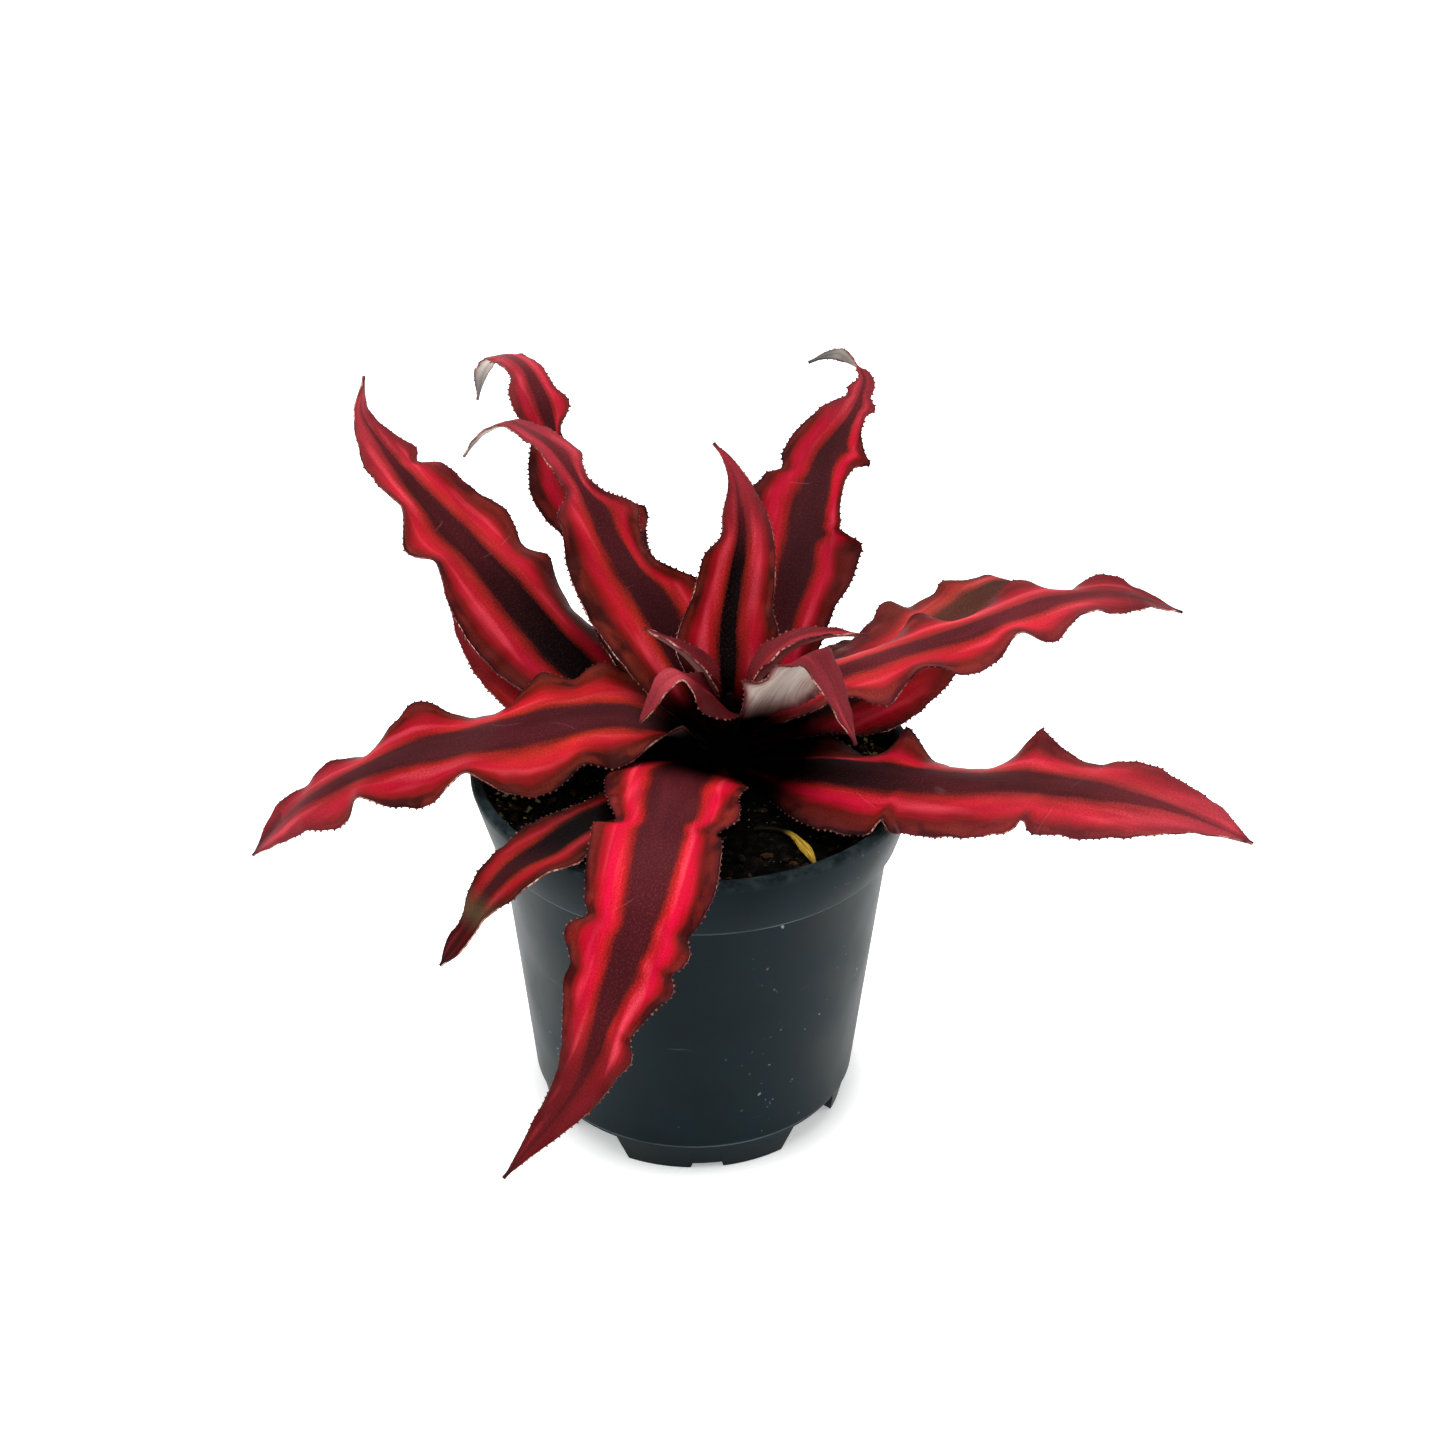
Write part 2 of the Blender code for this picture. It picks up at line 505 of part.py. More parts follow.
def pot_profile():
    """Outer side from the rim down to the feet, under the floor, and back up the inside."""
    floor_top = SEAM_HEIGHT + FLOOR_THICKNESS
    band_foot = POT_HEIGHT - RIM_BAND_HEIGHT
    inner_foot = SEAM_RADIUS - WALL
    return (
        (0.0, floor_top),
        (inner_foot, floor_top),
        (BODY_TOP_RADIUS - WALL, band_foot),
        (RIM_BAND_FOOT_RADIUS - WALL, band_foot + 1.5),
        (RIM_RADIUS - LIP_WIDTH, POT_HEIGHT - 2.0),
        (RIM_RADIUS - LIP_WIDTH, POT_HEIGHT - 0.5),
        (RIM_RADIUS - LIP_WIDTH + 0.5, POT_HEIGHT),
        (RIM_RADIUS - 0.6, POT_HEIGHT),
        (RIM_RADIUS, POT_HEIGHT - 0.6),
        (RIM_RADIUS, POT_HEIGHT - 2.0),
        (RIM_BAND_FOOT_RADIUS, band_foot + 0.5),
        (RIM_BAND_FOOT_RADIUS - 0.5, band_foot),
        (BODY_TOP_RADIUS, band_foot),
        (SEAM_RADIUS + 0.2, SEAM_HEIGHT + 0.8),
        (SEAM_RADIUS - 0.4, SEAM_HEIGHT),
        (FOOT_RADIUS, 0.0),
        (FOOT_RADIUS - SKIRT_WIDTH, 0.0),
        (SEAM_RADIUS - SKIRT_WIDTH - 0.4, SEAM_HEIGHT),
        (0.0, SEAM_HEIGHT),
    )


def radial_block(name, azimuth, low_width, high_width, height):
    """A block across the pot's skirt at that azimuth, from under the floor up to the height."""
    turn = math.radians(azimuth)
    mesh = bmesh.new()
    bmesh.ops.create_cube(mesh, size=1.0)
    for vertex in mesh.verts:
        high = vertex.co.z > 0
        out = SEAM_RADIUS + 6 if vertex.co.x > 0 else FOOT_RADIUS - SKIRT_WIDTH - 6
        aside = math.copysign((high_width if high else low_width) / 2, vertex.co.y)
        x = out * math.cos(turn) - aside * math.sin(turn)
        y = out * math.sin(turn) + aside * math.cos(turn)
        vertex.co = (x * MM, y * MM, (height if high else -2.0) * MM)
    made = bpy.data.meshes.new(name)
    mesh.to_mesh(made)
    mesh.free()
    return made


def build_pot(collection, cutters, parent):
    pot = turned_object("pot", pot_profile(), POT_STEPS, collection, parent, POT_PLASTIC)
    for i in range(FOOT_COUNT):
        azimuth = FOOT_GAP_FIRST + 360 / FOOT_COUNT * i
        gap = radial_block("foot_gap", azimuth, *FOOT_GAP_WIDTH, FOOT_GAP_HEIGHT)
        cut(pot, cutter(f"foot_gap_{i + 1}", gap, cutters, parent))
        width, height = FOOT_NOTCH
        notch = radial_block("foot_notch", azimuth + 180 / FOOT_COUNT, width, width - 2, height)
        cut(pot, cutter(f"foot_notch_{i + 1}", notch, cutters, parent))
        turn = math.radians(azimuth)
        centre = (DRAIN_AT * math.cos(turn), DRAIN_AT * math.sin(turn))
        drain = cylinder_mesh("drain", DRAIN_RADIUS, SEAM_HEIGHT - 3, SEAM_HEIGHT + 5, 16, centre)
        cut(pot, cutter(f"drain_{i + 1}", drain, cutters, parent))
    return pot


def soil_lump(x, y):
    """The uneven top of the soil, in millimetres above its mean height."""
    coarse = math.sin(0.31 * x + 1.3) * math.sin(0.27 * y + 0.4)
    fine = math.sin(0.83 * x - 0.6 * y) * math.cos(0.71 * y + 0.5 * x + 1.1)
    return SOIL_LUMP * (0.8 * coarse + 0.6 * fine)


def build_soil(collection, cutters, parent):
    """Soil that fills the pot, with an uneven top and a plain hole for the stem."""
    foot = SEAM_HEIGHT + FLOOR_THICKNESS + GAP
    band_foot = POT_HEIGHT - RIM_BAND_HEIGHT
    low_radius = SEAM_RADIUS - WALL - GAP - 0.1
    step_radius = BODY_TOP_RADIUS - WALL - GAP - 0.1
    slope = (RIM_RADIUS - LIP_WIDTH - RIM_BAND_FOOT_RADIUS + WALL) / (RIM_BAND_HEIGHT - 3.5)
    top_radius = RIM_BAND_FOOT_RADIUS - WALL + slope * (SOIL_HEIGHT - band_foot - 1.5) - GAP - 0.2
    rings = 9
    profile = [(0.0, SOIL_HEIGHT)]
    profile += [(top_radius * ring / rings, SOIL_HEIGHT) for ring in range(1, rings + 1)]
    profile += [(step_radius, band_foot), (low_radius, foot), (0.0, foot)]
    soil = turned_object("soil", profile, SOIL_STEPS, collection, parent, SOIL_PEAT)
    frozen = bpy.data.meshes.new_from_object(soil.evaluated_get(bpy.context.evaluated_depsgraph_get()))
    soil.modifiers.clear()
    soil.data = frozen
    for vertex in frozen.vertices:
        x, y, z = vertex.co / MM
        if z > SOIL_HEIGHT - 1 and math.hypot(x, y) < top_radius - 1:
            vertex.co.z = (z + soil_lump(x, y)) * MM
    hole = cylinder_mesh("stem_hole", STEM_HOLE_RADIUS, STEM_FOOT - GAP, SOIL_HEIGHT + 5, 24, CROWN)
    cut(soil, cutter("stem_hole", hole, cutters, parent))
    return soil


def build_stem(collection, parent):
    profile = [(0.0, STEM_PROFILE[0][1])] + list(STEM_PROFILE) + [(0.0, STEM_PROFILE[-1][1] + 0.5)]
    stem = turned_object("stem", profile[::-1], 20, collection, parent, STEM_BROWN)
    stem.location = (CROWN[0] * MM, CROWN[1] * MM, 0)
    return stem


def main():
    clear_scene()
    parts = new_collection("potted_cryptanthus")
    cutters = new_collection("cutters")
    root = bpy.data.objects.new("plant_on_floor", None)
    parts.objects.link(root)
    root.location = (-PLANT_MIDDLE[0] * MM, -PLANT_MIDDLE[1] * MM, 0)
    bpy.context.view_layer.update()
    build_pot(parts, cutters, root)
    build_soil(parts, cutters, root)
    build_stem(parts, root)
    for leaf in LEAVES:
        build_leaf(leaf, parts, root)


main()
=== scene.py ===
# %% [markdown]
# # A potted red star cryptanthus
#
# A cryptanthus is a small bromeliad. Its long leaves grow out of a short stem in a flat star, and each
# leaf is stiff and thin, with a wavy margin set with fine spines. A dark stripe runs down the middle,
# with a bright crimson band on either side and a brown margin. The underside is silver grey.
# It stands in a 10.5 cm nursery pot of blue-black plastic, filled with peat.
#
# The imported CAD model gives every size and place. This script keeps them and adds what the CAD leaves
# out: the fine waves, the spines, the relief of the soil and the finish of every surface.
# Metres are used throughout, and sizes are written in millimetres and multiplied by MM.

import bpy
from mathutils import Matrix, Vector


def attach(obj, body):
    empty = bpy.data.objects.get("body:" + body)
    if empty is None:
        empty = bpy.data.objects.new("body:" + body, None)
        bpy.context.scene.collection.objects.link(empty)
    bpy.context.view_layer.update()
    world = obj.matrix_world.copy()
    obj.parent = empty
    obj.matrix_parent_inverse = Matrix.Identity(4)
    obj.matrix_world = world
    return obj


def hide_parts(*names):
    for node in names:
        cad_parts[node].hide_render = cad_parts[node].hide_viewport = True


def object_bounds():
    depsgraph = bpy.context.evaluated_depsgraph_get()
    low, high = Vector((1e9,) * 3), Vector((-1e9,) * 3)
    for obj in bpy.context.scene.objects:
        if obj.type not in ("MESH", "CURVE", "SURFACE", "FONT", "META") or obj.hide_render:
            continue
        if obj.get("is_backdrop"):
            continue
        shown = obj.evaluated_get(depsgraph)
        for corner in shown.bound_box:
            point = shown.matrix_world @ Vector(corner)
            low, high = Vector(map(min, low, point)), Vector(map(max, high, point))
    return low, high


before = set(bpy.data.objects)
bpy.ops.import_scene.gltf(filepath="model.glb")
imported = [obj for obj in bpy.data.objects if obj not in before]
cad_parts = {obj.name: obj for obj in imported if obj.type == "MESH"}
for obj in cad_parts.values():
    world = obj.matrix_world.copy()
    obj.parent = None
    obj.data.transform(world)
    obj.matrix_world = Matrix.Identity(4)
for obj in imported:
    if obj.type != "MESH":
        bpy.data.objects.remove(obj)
cad_box = [list(corner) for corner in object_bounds()]
print("CAD nodes:", len(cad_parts))

# %% Libraries and units
from dataclasses import dataclass, fields
import math
import random

import bpy
from mathutils import Matrix, Vector, noise
import numpy as np

MM = 0.001
# The pot's axis on the floor. The CAD is drawn about it, and the whole plant is centred over the origin.
AXIS = Vector((-7.25 * MM, -18.6 * MM, 0.0))

# %% [markdown]
# ## Camera, light and floor
#
# The photograph is a studio picture on white: the camera looks down at about 30 degrees from 0.6 m away,
# the light is so soft that the shadow is only a faint grey patch under the pot, and the floor is
# burnt out to white. Comparing is easiest when this comes first, so that every trial render already
# has the right frame. Standard view transform keeps the crimson as saturated as the picture has it.

# %% The camera
scene = bpy.context.scene
camera_data = bpy.data.cameras.new("camera")
camera_data.lens, camera_data.sensor_width = 57.3, 36.0
camera = bpy.data.objects.new("camera", camera_data)
scene.collection.objects.link(camera)
camera.location = Vector((-7.25, -478.9, 371.91)) * MM
camera.rotation_euler = [math.radians(angle) for angle in (59.623, -0.524, -0.4805)]
scene.camera = camera
scene.view_settings.view_transform = "Standard"
print("camera at", [round(value, 3) for value in camera.location])


# %% Colours and nodes
# As in the shader editor there is one material in hand, the last that new_material made, and the helpers
# below work on that one
def linear(hex_colour):
    """An sRGB hex colour such as #C02030 as linear red, green, blue and alpha."""
    channels = [int(hex_colour[i:i + 2], 16) / 255 for i in (1, 3, 5)]
    return [c / 12.92 if c <= 0.04045 else ((c + 0.055) / 1.055) ** 2.4 for c in channels] + [1.0]


def fill(node, links):
    """Gives sockets, called by name or as _number, a link, a hex colour or another value."""
    for name, value in links.items():
        socket = node.inputs[int(name[1:])] if name[1:].isdigit() else node.inputs[name.replace("_", " ")]
        if isinstance(value, bpy.types.NodeSocket):
            in_hand.node_tree.links.new(value, socket)
        else:
            socket.default_value = linear(value) if isinstance(value, str) else value


def add_node(kind, *values, out=0, **named):
    """Adds a node and gives one of its outputs.

    Values fill its sockets in their order. A name in small letters is a property, and any other a socket.
    """
    node = in_hand.node_tree.nodes.new("ShaderNode" + kind)
    links = {f"_{number}": value for number, value in enumerate(values)}
    for name, value in named.items():
        if name.islower():
            setattr(node, name, value)
        else:
            links[name] = value
    fill(node, links)
    return node.outputs[out]


def shade(**links):
    """Fills sockets of the shader of the material in hand."""
    fill(in_hand.node_tree.nodes["Principled BSDF"], links)


def new_material(name, shown, roughness, ior=1.45, **links):
    """Takes a new material in hand, with the colour that the viewport shows."""
    global in_hand
    in_hand = bpy.data.materials.new(name)
    in_hand.use_nodes = True
    in_hand.diffuse_color = linear(shown)
    shade(Base_Color=shown, Roughness=roughness, IOR=ior, **links)
    return in_hand


# %% [markdown]
# The lights are a large soft box overhead, a little in front, one weaker box on either side, whose
# reflections draw the pale edges of the pot, a wide one low behind the plant, which stands for the white
# backdrop and gives the flat leaves their sheen, and a grey-white world that fills the shadows.

# %% Lights
def soft_box(name, place, aim_height, size, watts, tint="#FFFFFF"):
    light = bpy.data.lights.new(name, "AREA")
    light.shape = "RECTANGLE"
    light.size, light.size_y = size
    light.energy = watts
    light.color = linear(tint)[:3]
    made = bpy.data.objects.new(name, light)
    scene.collection.objects.link(made)
    made.location = place
    made.rotation_euler = (Vector((0, 0, aim_height)) - Vector(place)).to_track_quat("-Z", "Y").to_euler()


soft_box("soft_box_above", (-0.15, -0.10, 1.25), 0.08, (1.3, 1.3), 16.0)
soft_box("soft_box_left", (-1.10, -0.25, 0.60), 0.08, (0.7, 1.0), 5.5, "#E2F2EC")
soft_box("soft_box_right", (1.10, 0.05, 0.60), 0.08, (0.7, 1.0), 5.5, "#E2F2EC")
soft_box("soft_box_behind", (0.0, 1.60, 0.95), 0.10, (2.6, 1.2), 7.0)
world = bpy.data.worlds.new("studio")
world.use_nodes = True
backdrop = world.node_tree.nodes["Background"].inputs
backdrop["Color"].default_value = linear("#F4F6F8")
backdrop["Strength"].default_value = 0.32
scene.world = world

# %% The floor
# Opal acrylic over lamps: it glows white all round. Its glow is turned down near the pot's foot, a painted
# shadow that draws the grey patch.
# A Map Range node takes a value, the range that it comes from and the range that it goes to.
SMOOTH = {"interpolation_type": "SMOOTHSTEP"}
bpy.ops.mesh.primitive_plane_add(size=8.0, location=(0, 0, 0))
floor = bpy.context.object
floor.name = "floor"
floor.data.materials.append(new_material("opal white light table", "#F0F0F0", 0.9))
floor_place = add_node("TexCoord", out="Object")
floor_away = add_node("VectorMath", floor_place, AXIS, operation="DISTANCE", out="Value")
floor_grain = add_node("TexNoise", floor_place, Scale=900.0, Detail=2.0)
shade(Emission_Color="#FFFFFF",
      Emission_Strength=add_node("MapRange", floor_away, 36 * MM, 54 * MM, 0.35, 1.1, **SMOOTH),
      Normal=add_node("Bump", Height=floor_grain, Strength=0.05, Distance=0.2 * MM))
floor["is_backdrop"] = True
print("floor", tuple(round(side, 2) for side in floor.dimensions))

# %% [markdown]
# ## The leaves as a table
#
# Every leaf has the same build and its own size, bend and waves, so all are rows of one table, with the
# numbers that the CAD was drawn from. A midrib is a row of points, each an azimuth, a distance from the
# crown and a height. A margin is a row of points too, each a place along, a half width and a lift: the
# lift bends the margin up or down off the blade and draws the waves.

# %% What a row says
CROWN = (8.0, 3.0)
BASE_HALF_WIDTH = 3.5


def as_shares(rows):
    """Rows whose places along, written in per cent, are shares of the length."""
    return tuple((row[0] / 100, *row[1:]) for row in rows)


@dataclass
class Leaf:
    """One leaf, in millimetres about the pot's axis. Places along run from 0 to 100 per cent, the tip.

    What goes without saying is left out: a midrib point's azimuth where it is the one before, a lift of
    0, a margin's row at the base if that is 3.5 mm wide, and its row at the tip, which is a point.
    """

    name: str
    midrib: tuple
    left: tuple
    right: tuple
    roll: tuple = ((0, 0), (100, 0))
    cup: float = 0.0
    root: tuple = CROWN
    slot: str = "leaf"
    spines: bool = True

    def __post_init__(self):
        points = [self.midrib[0]]
        for point in self.midrib[1:]:
            points.append(point if len(point) == 3 else (points[-1][0], *point))
        self.midrib = tuple(points)
        self.left, self.right = self.whole_margin(self.left), self.whole_margin(self.right)
        self.roll = as_shares(self.roll)

    @staticmethod
    def whole_margin(rows):
        rows = [row if len(row) == 3 else (*row, 0) for row in rows]
        base = [(0, BASE_HALF_WIDTH, 0)] if rows[0][0] > 0 else []
        return as_shares(base + rows + [(100, 0, 0)])


# %% The twelve leaves that the photograph shows
OUTER_LEAVES = (
    Leaf("leaf_left_back", roll=((0, -10), (45, -14), (65, 4), (100, 4)),
         midrib=((160, 5.3, 91.1), (153, 22, 93), (147, 43, 102), (146, 68, 119), (94, 137), (104, 146),
                 (147, 107, 153), (105, 163)),
         left=((12, 10), (30, 15, 0.5), (42, 17, -1.5), (53, 16.5), (60, 14.5, 2.5), (66, 15.5, -2),
               (71, 12, 2), (80, 9.5, -0.5), (87, 7.5), (93, 2.5)),
         right=((12, 10), (30, 14, -4), (40, 13, -6), (46, 14.5, -4.5), (51, 16.5, -1), (55, 15, -2.5),
                (61, 17, 1.5), (70, 16.5, 0.5), (75.5, 14.4, 1), (78.5, 13.2), (80, 8.8, -0.5),
                (82, 10, 0.3), (84, 8.4), (86, 6.2), (88.5, 4.4), (93, 3))),
    Leaf("leaf_back_tall",
         midrib=((120, 5.3, 92.8), (20, 96), (40, 106), (60, 119), (75, 130.5), (87, 141), (94, 149),
                 (100, 152), (106.5, 153), (114, 152), (122, 149), (129, 143), (134, 133)),
         left=((12, 10), (30, 13, 1), (38, 11.6), (43, 9, -1), (47, 12, 0.5), (51, 13), (57, 10, -1),
               (62, 7), (66, 9.5, 1), (69, 9, 0.5), (73, 5.5), (78, 5.5), (82, 5), (86, 3.5), (92, 3)),
         right=((12, 10), (30, 10, 3), (37, 9.5, 3), (41, 12, 1), (44.2, 15), (45.6, 14.6), (47, 7, 0.5),
                (50, 2.5, 1), (55, 2.5, 1.5), (62, 1.5, 1), (65.5, 6, 0.5), (69, 4), (72, 4), (76, 4),
                (82, 3), (90, 2.5))),
    Leaf("leaf_back_curled",
         midrib=((128, 5.1, 95.6), (130, 12, 105), (20.5, 112.6), (30, 121), (41, 129), (51.5, 137.5),
                 (62, 144.5), (68, 147), (76, 148), (84, 148), (93, 143.5), (100, 138), (105, 132)),
         left=((10, 12.5), (20, 16.5, 1), (28, 17, -0.5), (35, 17.2, 1), (41, 14, -1), (48, 11, 0.5),
               (51, 9.5), (54, 4.5, -0.5), (58, 4.5, 0.5), (63, 3.5), (80, 2.5)),
         right=((0, 3), (4, 4.5, 0.5), (10, 10, 3), (20, 14.5, 3), (28, 14, 2), (34, 6.5, 3),
                (38.5, 6.5, 1), (44, 9.5), (48, 13, -2), (51.5, 5.5, 1), (54.5, 2.5, 2), (58, 3.5, 1),
                (63.5, 8, -2), (68, 5.5), (80, 3), (90, 2))),
    Leaf("leaf_upright", cup=0.35,
         midrib=((97, 4.7, 100.5), (95, 9, 109.5), (94, 12, 114), (91, 16, 120.5), (87, 20, 126.5),
                 (85, 24, 133), (27, 138), (86, 28.5, 143), (88, 29.5, 149), (92, 30.5, 153.5),
                 (97, 32.5, 157)),
         left=((10, 8), (22, 12), (30, 11, -1), (38, 9, 1), (47, 8.5, -0.5), (56, 7.5, 0.5), (63, 4.5),
               (72, 4), (83, 1.8)),
         right=((10, 8), (22, 12), (32, 11.5, 1), (40, 10, -1), (50, 9.5, 0.5), (60, 8.5, -0.5), (70, 7),
                (78, 5), (87, 2.5))),
    Leaf("leaf_right_back",
         roll=((0, 5), (40, 10), (70, 10), (82, 10), (84, 10), (86, 20), (87.5, 80), (89, 140), (91, 150),
               (93, 100), (95.5, 25), (97.5, 10), (100, 10)),
         midrib=((64, 4.8, 97), (20, 107), (64.5, 37, 123.5), (66.5, 49, 135), (67.5, 60, 143.5),
                 (65, 75, 152), (79, 157), (67, 82, 159), (70, 83, 161), (73, 84, 160), (76, 83, 158)),
         left=((0, 3), (6, 4.5, -1), (15, 9.5, -2), (30, 14), (45, 15), (53, 14.5, 0.5), (55, 13, 0.3),
               (56.7, 11.9, 0.5), (57.6, 9.7), (61, 9.8, -0.5), (65, 9.3), (70, 8.5), (74, 7.6),
               (75.8, 6.6), (77.5, 5.6), (79, 3.3), (81.2, 3.7, 0.3), (82.5, 2.8), (84, 1.3), (87, 0.9),
               (89, 1.2), (91.5, 1.7), (95, 1.1)),
         right=((15, 9, -5), (27, 11.5, -1), (31, 12), (34.5, 13.6), (38, 14.2, -0.5), (42, 14.4, -1.5),
                (44.1, 14.4, -1.8), (45, 13.4, -0.8), (45.8, 9.8, 0.5), (48, 8.5, 1.2), (51, 7.5, 2),
                (54, 7.3, 2), (58, 7.4, 1), (62, 8.4), (65, 10.2, -1), (66.8, 11.3, -1), (67.8, 9.2),
                (69, 7.8, 0.7), (72, 5, 0.5), (74.5, 3.8), (76.5, 3.6, -0.3), (77.9, 5, -0.5), (78.8, 4.5),
                (80, 2.9), (82, 3), (84, 2.4), (86.2, 1.4), (89, 1.2), (91.5, 1.7), (95, 1.1))),
    Leaf("leaf_right_long", cup=-0.12,
         midrib=((16, 4.9, 99.2), (14, 105), (27, 110), (46, 114), (17, 66, 118), (18, 83, 120), (98, 119),
                 (117, 111)),
         left=((12, 9, 2), (20, 11, -2), (27, 12, -5), (36, 13, -3.5), (44, 13.5, 1), (48.5, 12, -5),
               (56, 12.5, -4), (66, 12, 2), (74, 9, -3.5), (81, 8, 2), (90, 5, 1.5)),
         right=((12, 10, 1), (19, 10, 1), (26, 13, -3), (35, 12, 3), (45, 14, -2), (51, 13),
                (55.5, 11, 2.5), (61, 12.5, -1.5), (72, 9, 1.5), (80, 8, -0.5), (90, 4.5, 0.5))),
    Leaf("leaf_right_under",
         midrib=((34, 5.2, 93.8), (24, 98.2), (48, 103), (66, 108), (79, 113), (87, 112), (93, 106)),
         left=((15, 11), (30, 15, -2), (42, 15.5, -2.5), (54, 16.5, -0.5), (59.8, 18, 1.2), (61, 17.6, 1.2),
               (64, 14.8, -1.5), (67, 14.3, -2), (72, 12, -0.5), (75.5, 11.4, 1), (77, 10, 0.6),
               (79.5, 7.6), (83, 7.3), (86.5, 6.4), (89.5, 4.4, -0.3), (92, 2, -0.5)),
         right=((15, 12), (27, 18, -3), (42, 18, -3), (55, 15, -2), (65, 14, 1), (76, 12, -1), (83, 9, 1),
                (92, 5))),
    Leaf("leaf_right_low", cup=-0.1,
         midrib=((-27, 5.3, 90.5), (20, 94.8), (38, 96.9), (57, 100), (75, 105), (93, 107), (106, 107),
                 (124, 104)),
         left=((13, 12, 2), (22, 15, -3.5), (26.2, 15.5, 2.2), (28.7, 16, 5.6), (30, 15.6, 3.8),
               (33.5, 15.2, -1.8), (36, 16, -3.5), (48, 15.5, -1.8), (52, 15, 2), (55.2, 15.6, 6),
               (56.3, 16, 7), (57.6, 15.6, 5.4), (61, 14.8, 2), (65, 14), (70, 14, 1), (76, 13.5, 3),
               (84, 10.5, 2), (92, 6, 2)),
         right=((13, 15, -3), (22, 19, -3), (30, 18.6, -3), (32.4, 18, -2.4), (33.8, 16.2, -0.4),
                (35, 17, -1.8), (39, 17, -2.4), (50, 16.2, -3), (58, 16, -1.8), (59.8, 15.6, -0.8),
                (60.9, 14.6, 0.8), (62.1, 15.4, -1), (66, 14.8, -2), (77, 12.5, -1.5), (86, 8),
                (94, 3.5, 1))),
    Leaf("leaf_left_long",
         midrib=((187, 5.2, 94.1), (185, 14, 99), (184, 23, 103), (35, 103), (50, 100), (62, 97), (74, 95),
                 (87, 90), (99, 83), (113, 68)),
         left=((3, 4.5, 2), (6, 7, 4.5), (9, 9.5, 6.5), (12, 12.5, 3.5), (15.5, 16, -1.5), (21, 16, -5),
               (25, 17, -2.5), (33, 18.5, -7), (42, 18.5, -5), (48, 16.5, 1.5), (57, 16.5, -5),
               (66, 14.5, -3), (70, 13, 0.5), (75, 13, -4), (84, 9.5, -2.5), (93, 5, -1)),
         right=((10, 12, 1), (15, 14, 2), (21, 16, 5), (28, 16.5, 1), (33, 17, 4), (38, 16), (45, 15, -3),
                (51, 15, -1), (58, 15, 4.5), (63, 13.5, 2), (70, 11, -2.5), (78, 9.5, 1), (83, 8),
                (91, 5.5, 2))),
    Leaf("leaf_front",
         midrib=((235, 5.4, 91), (242, 22, 98.5), (251, 40, 101.5), (253, 56, 98.5), (65, 91),
                 (252, 71, 83), (250, 77, 71), (247, 84, 55), (243, 90, 44), (240, 98, 36)),
         left=((10, 12.5), (16, 15), (24, 14), (30, 15.3, 0.5), (31.8, 15, 1), (33, 12, -0.5), (36, 13.2),
               (40, 14.3, 0.5), (45, 14.5), (49, 12.8, -1), (52, 11.2, -1), (53.5, 13, 1), (56, 12),
               (57.5, 10.2, -0.5), (59, 12, 1), (63, 9.5), (68, 7, -0.5), (70, 6.5, -0.5), (71.5, 8.3, 0.5),
               (76, 6.8), (84, 4.6), (93, 2)),
         right=((10, 13, -2), (15, 17, -3), (20, 16, -4), (28, 14, -0.5), (33.8, 12.3, -1), (35.2, 14.8, 1),
                (38, 15, 0.5), (43, 14.6), (50, 13, -0.5), (53.2, 11.8, -0.5), (54.5, 13.8, 1),
                (60, 12.4, 0.5), (61.5, 11.6, -0.5), (64, 11.6, 0.5), (70, 9.3), (80, 6, -0.5), (90, 3.5))),
    Leaf("leaf_left_front", cup=0.25,
         midrib=((228, 5.4, 88), (230, 30, 91.5), (51, 95), (61, 95.5), (229, 71, 95), (228, 78, 91),
                 (85, 85), (227, 91, 79)),
         left=((0, 3), (24, 7.5, 1), (44, 7, -0.5), (55, 7, -1.5), (62, 9, -1), (71, 7.5, -0.5),
               (79, 5.5, -1), (84, 4.4), (87, 3), (89.5, 2.4), (92.5, 2.7), (96, 2)),
         right=((0, 3), (24, 8), (48, 8.5, -1), (60, 8.5), (70, 7, -1), (78, 5.3), (84, 4, -0.5), (87, 2.8),
                (89.5, 2.3), (92.5, 2.8), (96, 2))),
    Leaf("leaf_left_under",
         midrib=((165, 5.4, 89.3), (158, 22, 89.4), (154, 38, 91.8), (152, 53, 96.5), (151, 67, 103),
                 (150, 80, 113)),
         left=((20, 10), (40, 13, -1), (60, 13, -0.5), (80, 8, -1)),
         right=((20, 8, 1.5), (40, 8, 1.5), (60, 8, 1.5), (80, 6, 1))),
)
print("outer leaves:", len(OUTER_LEAVES))

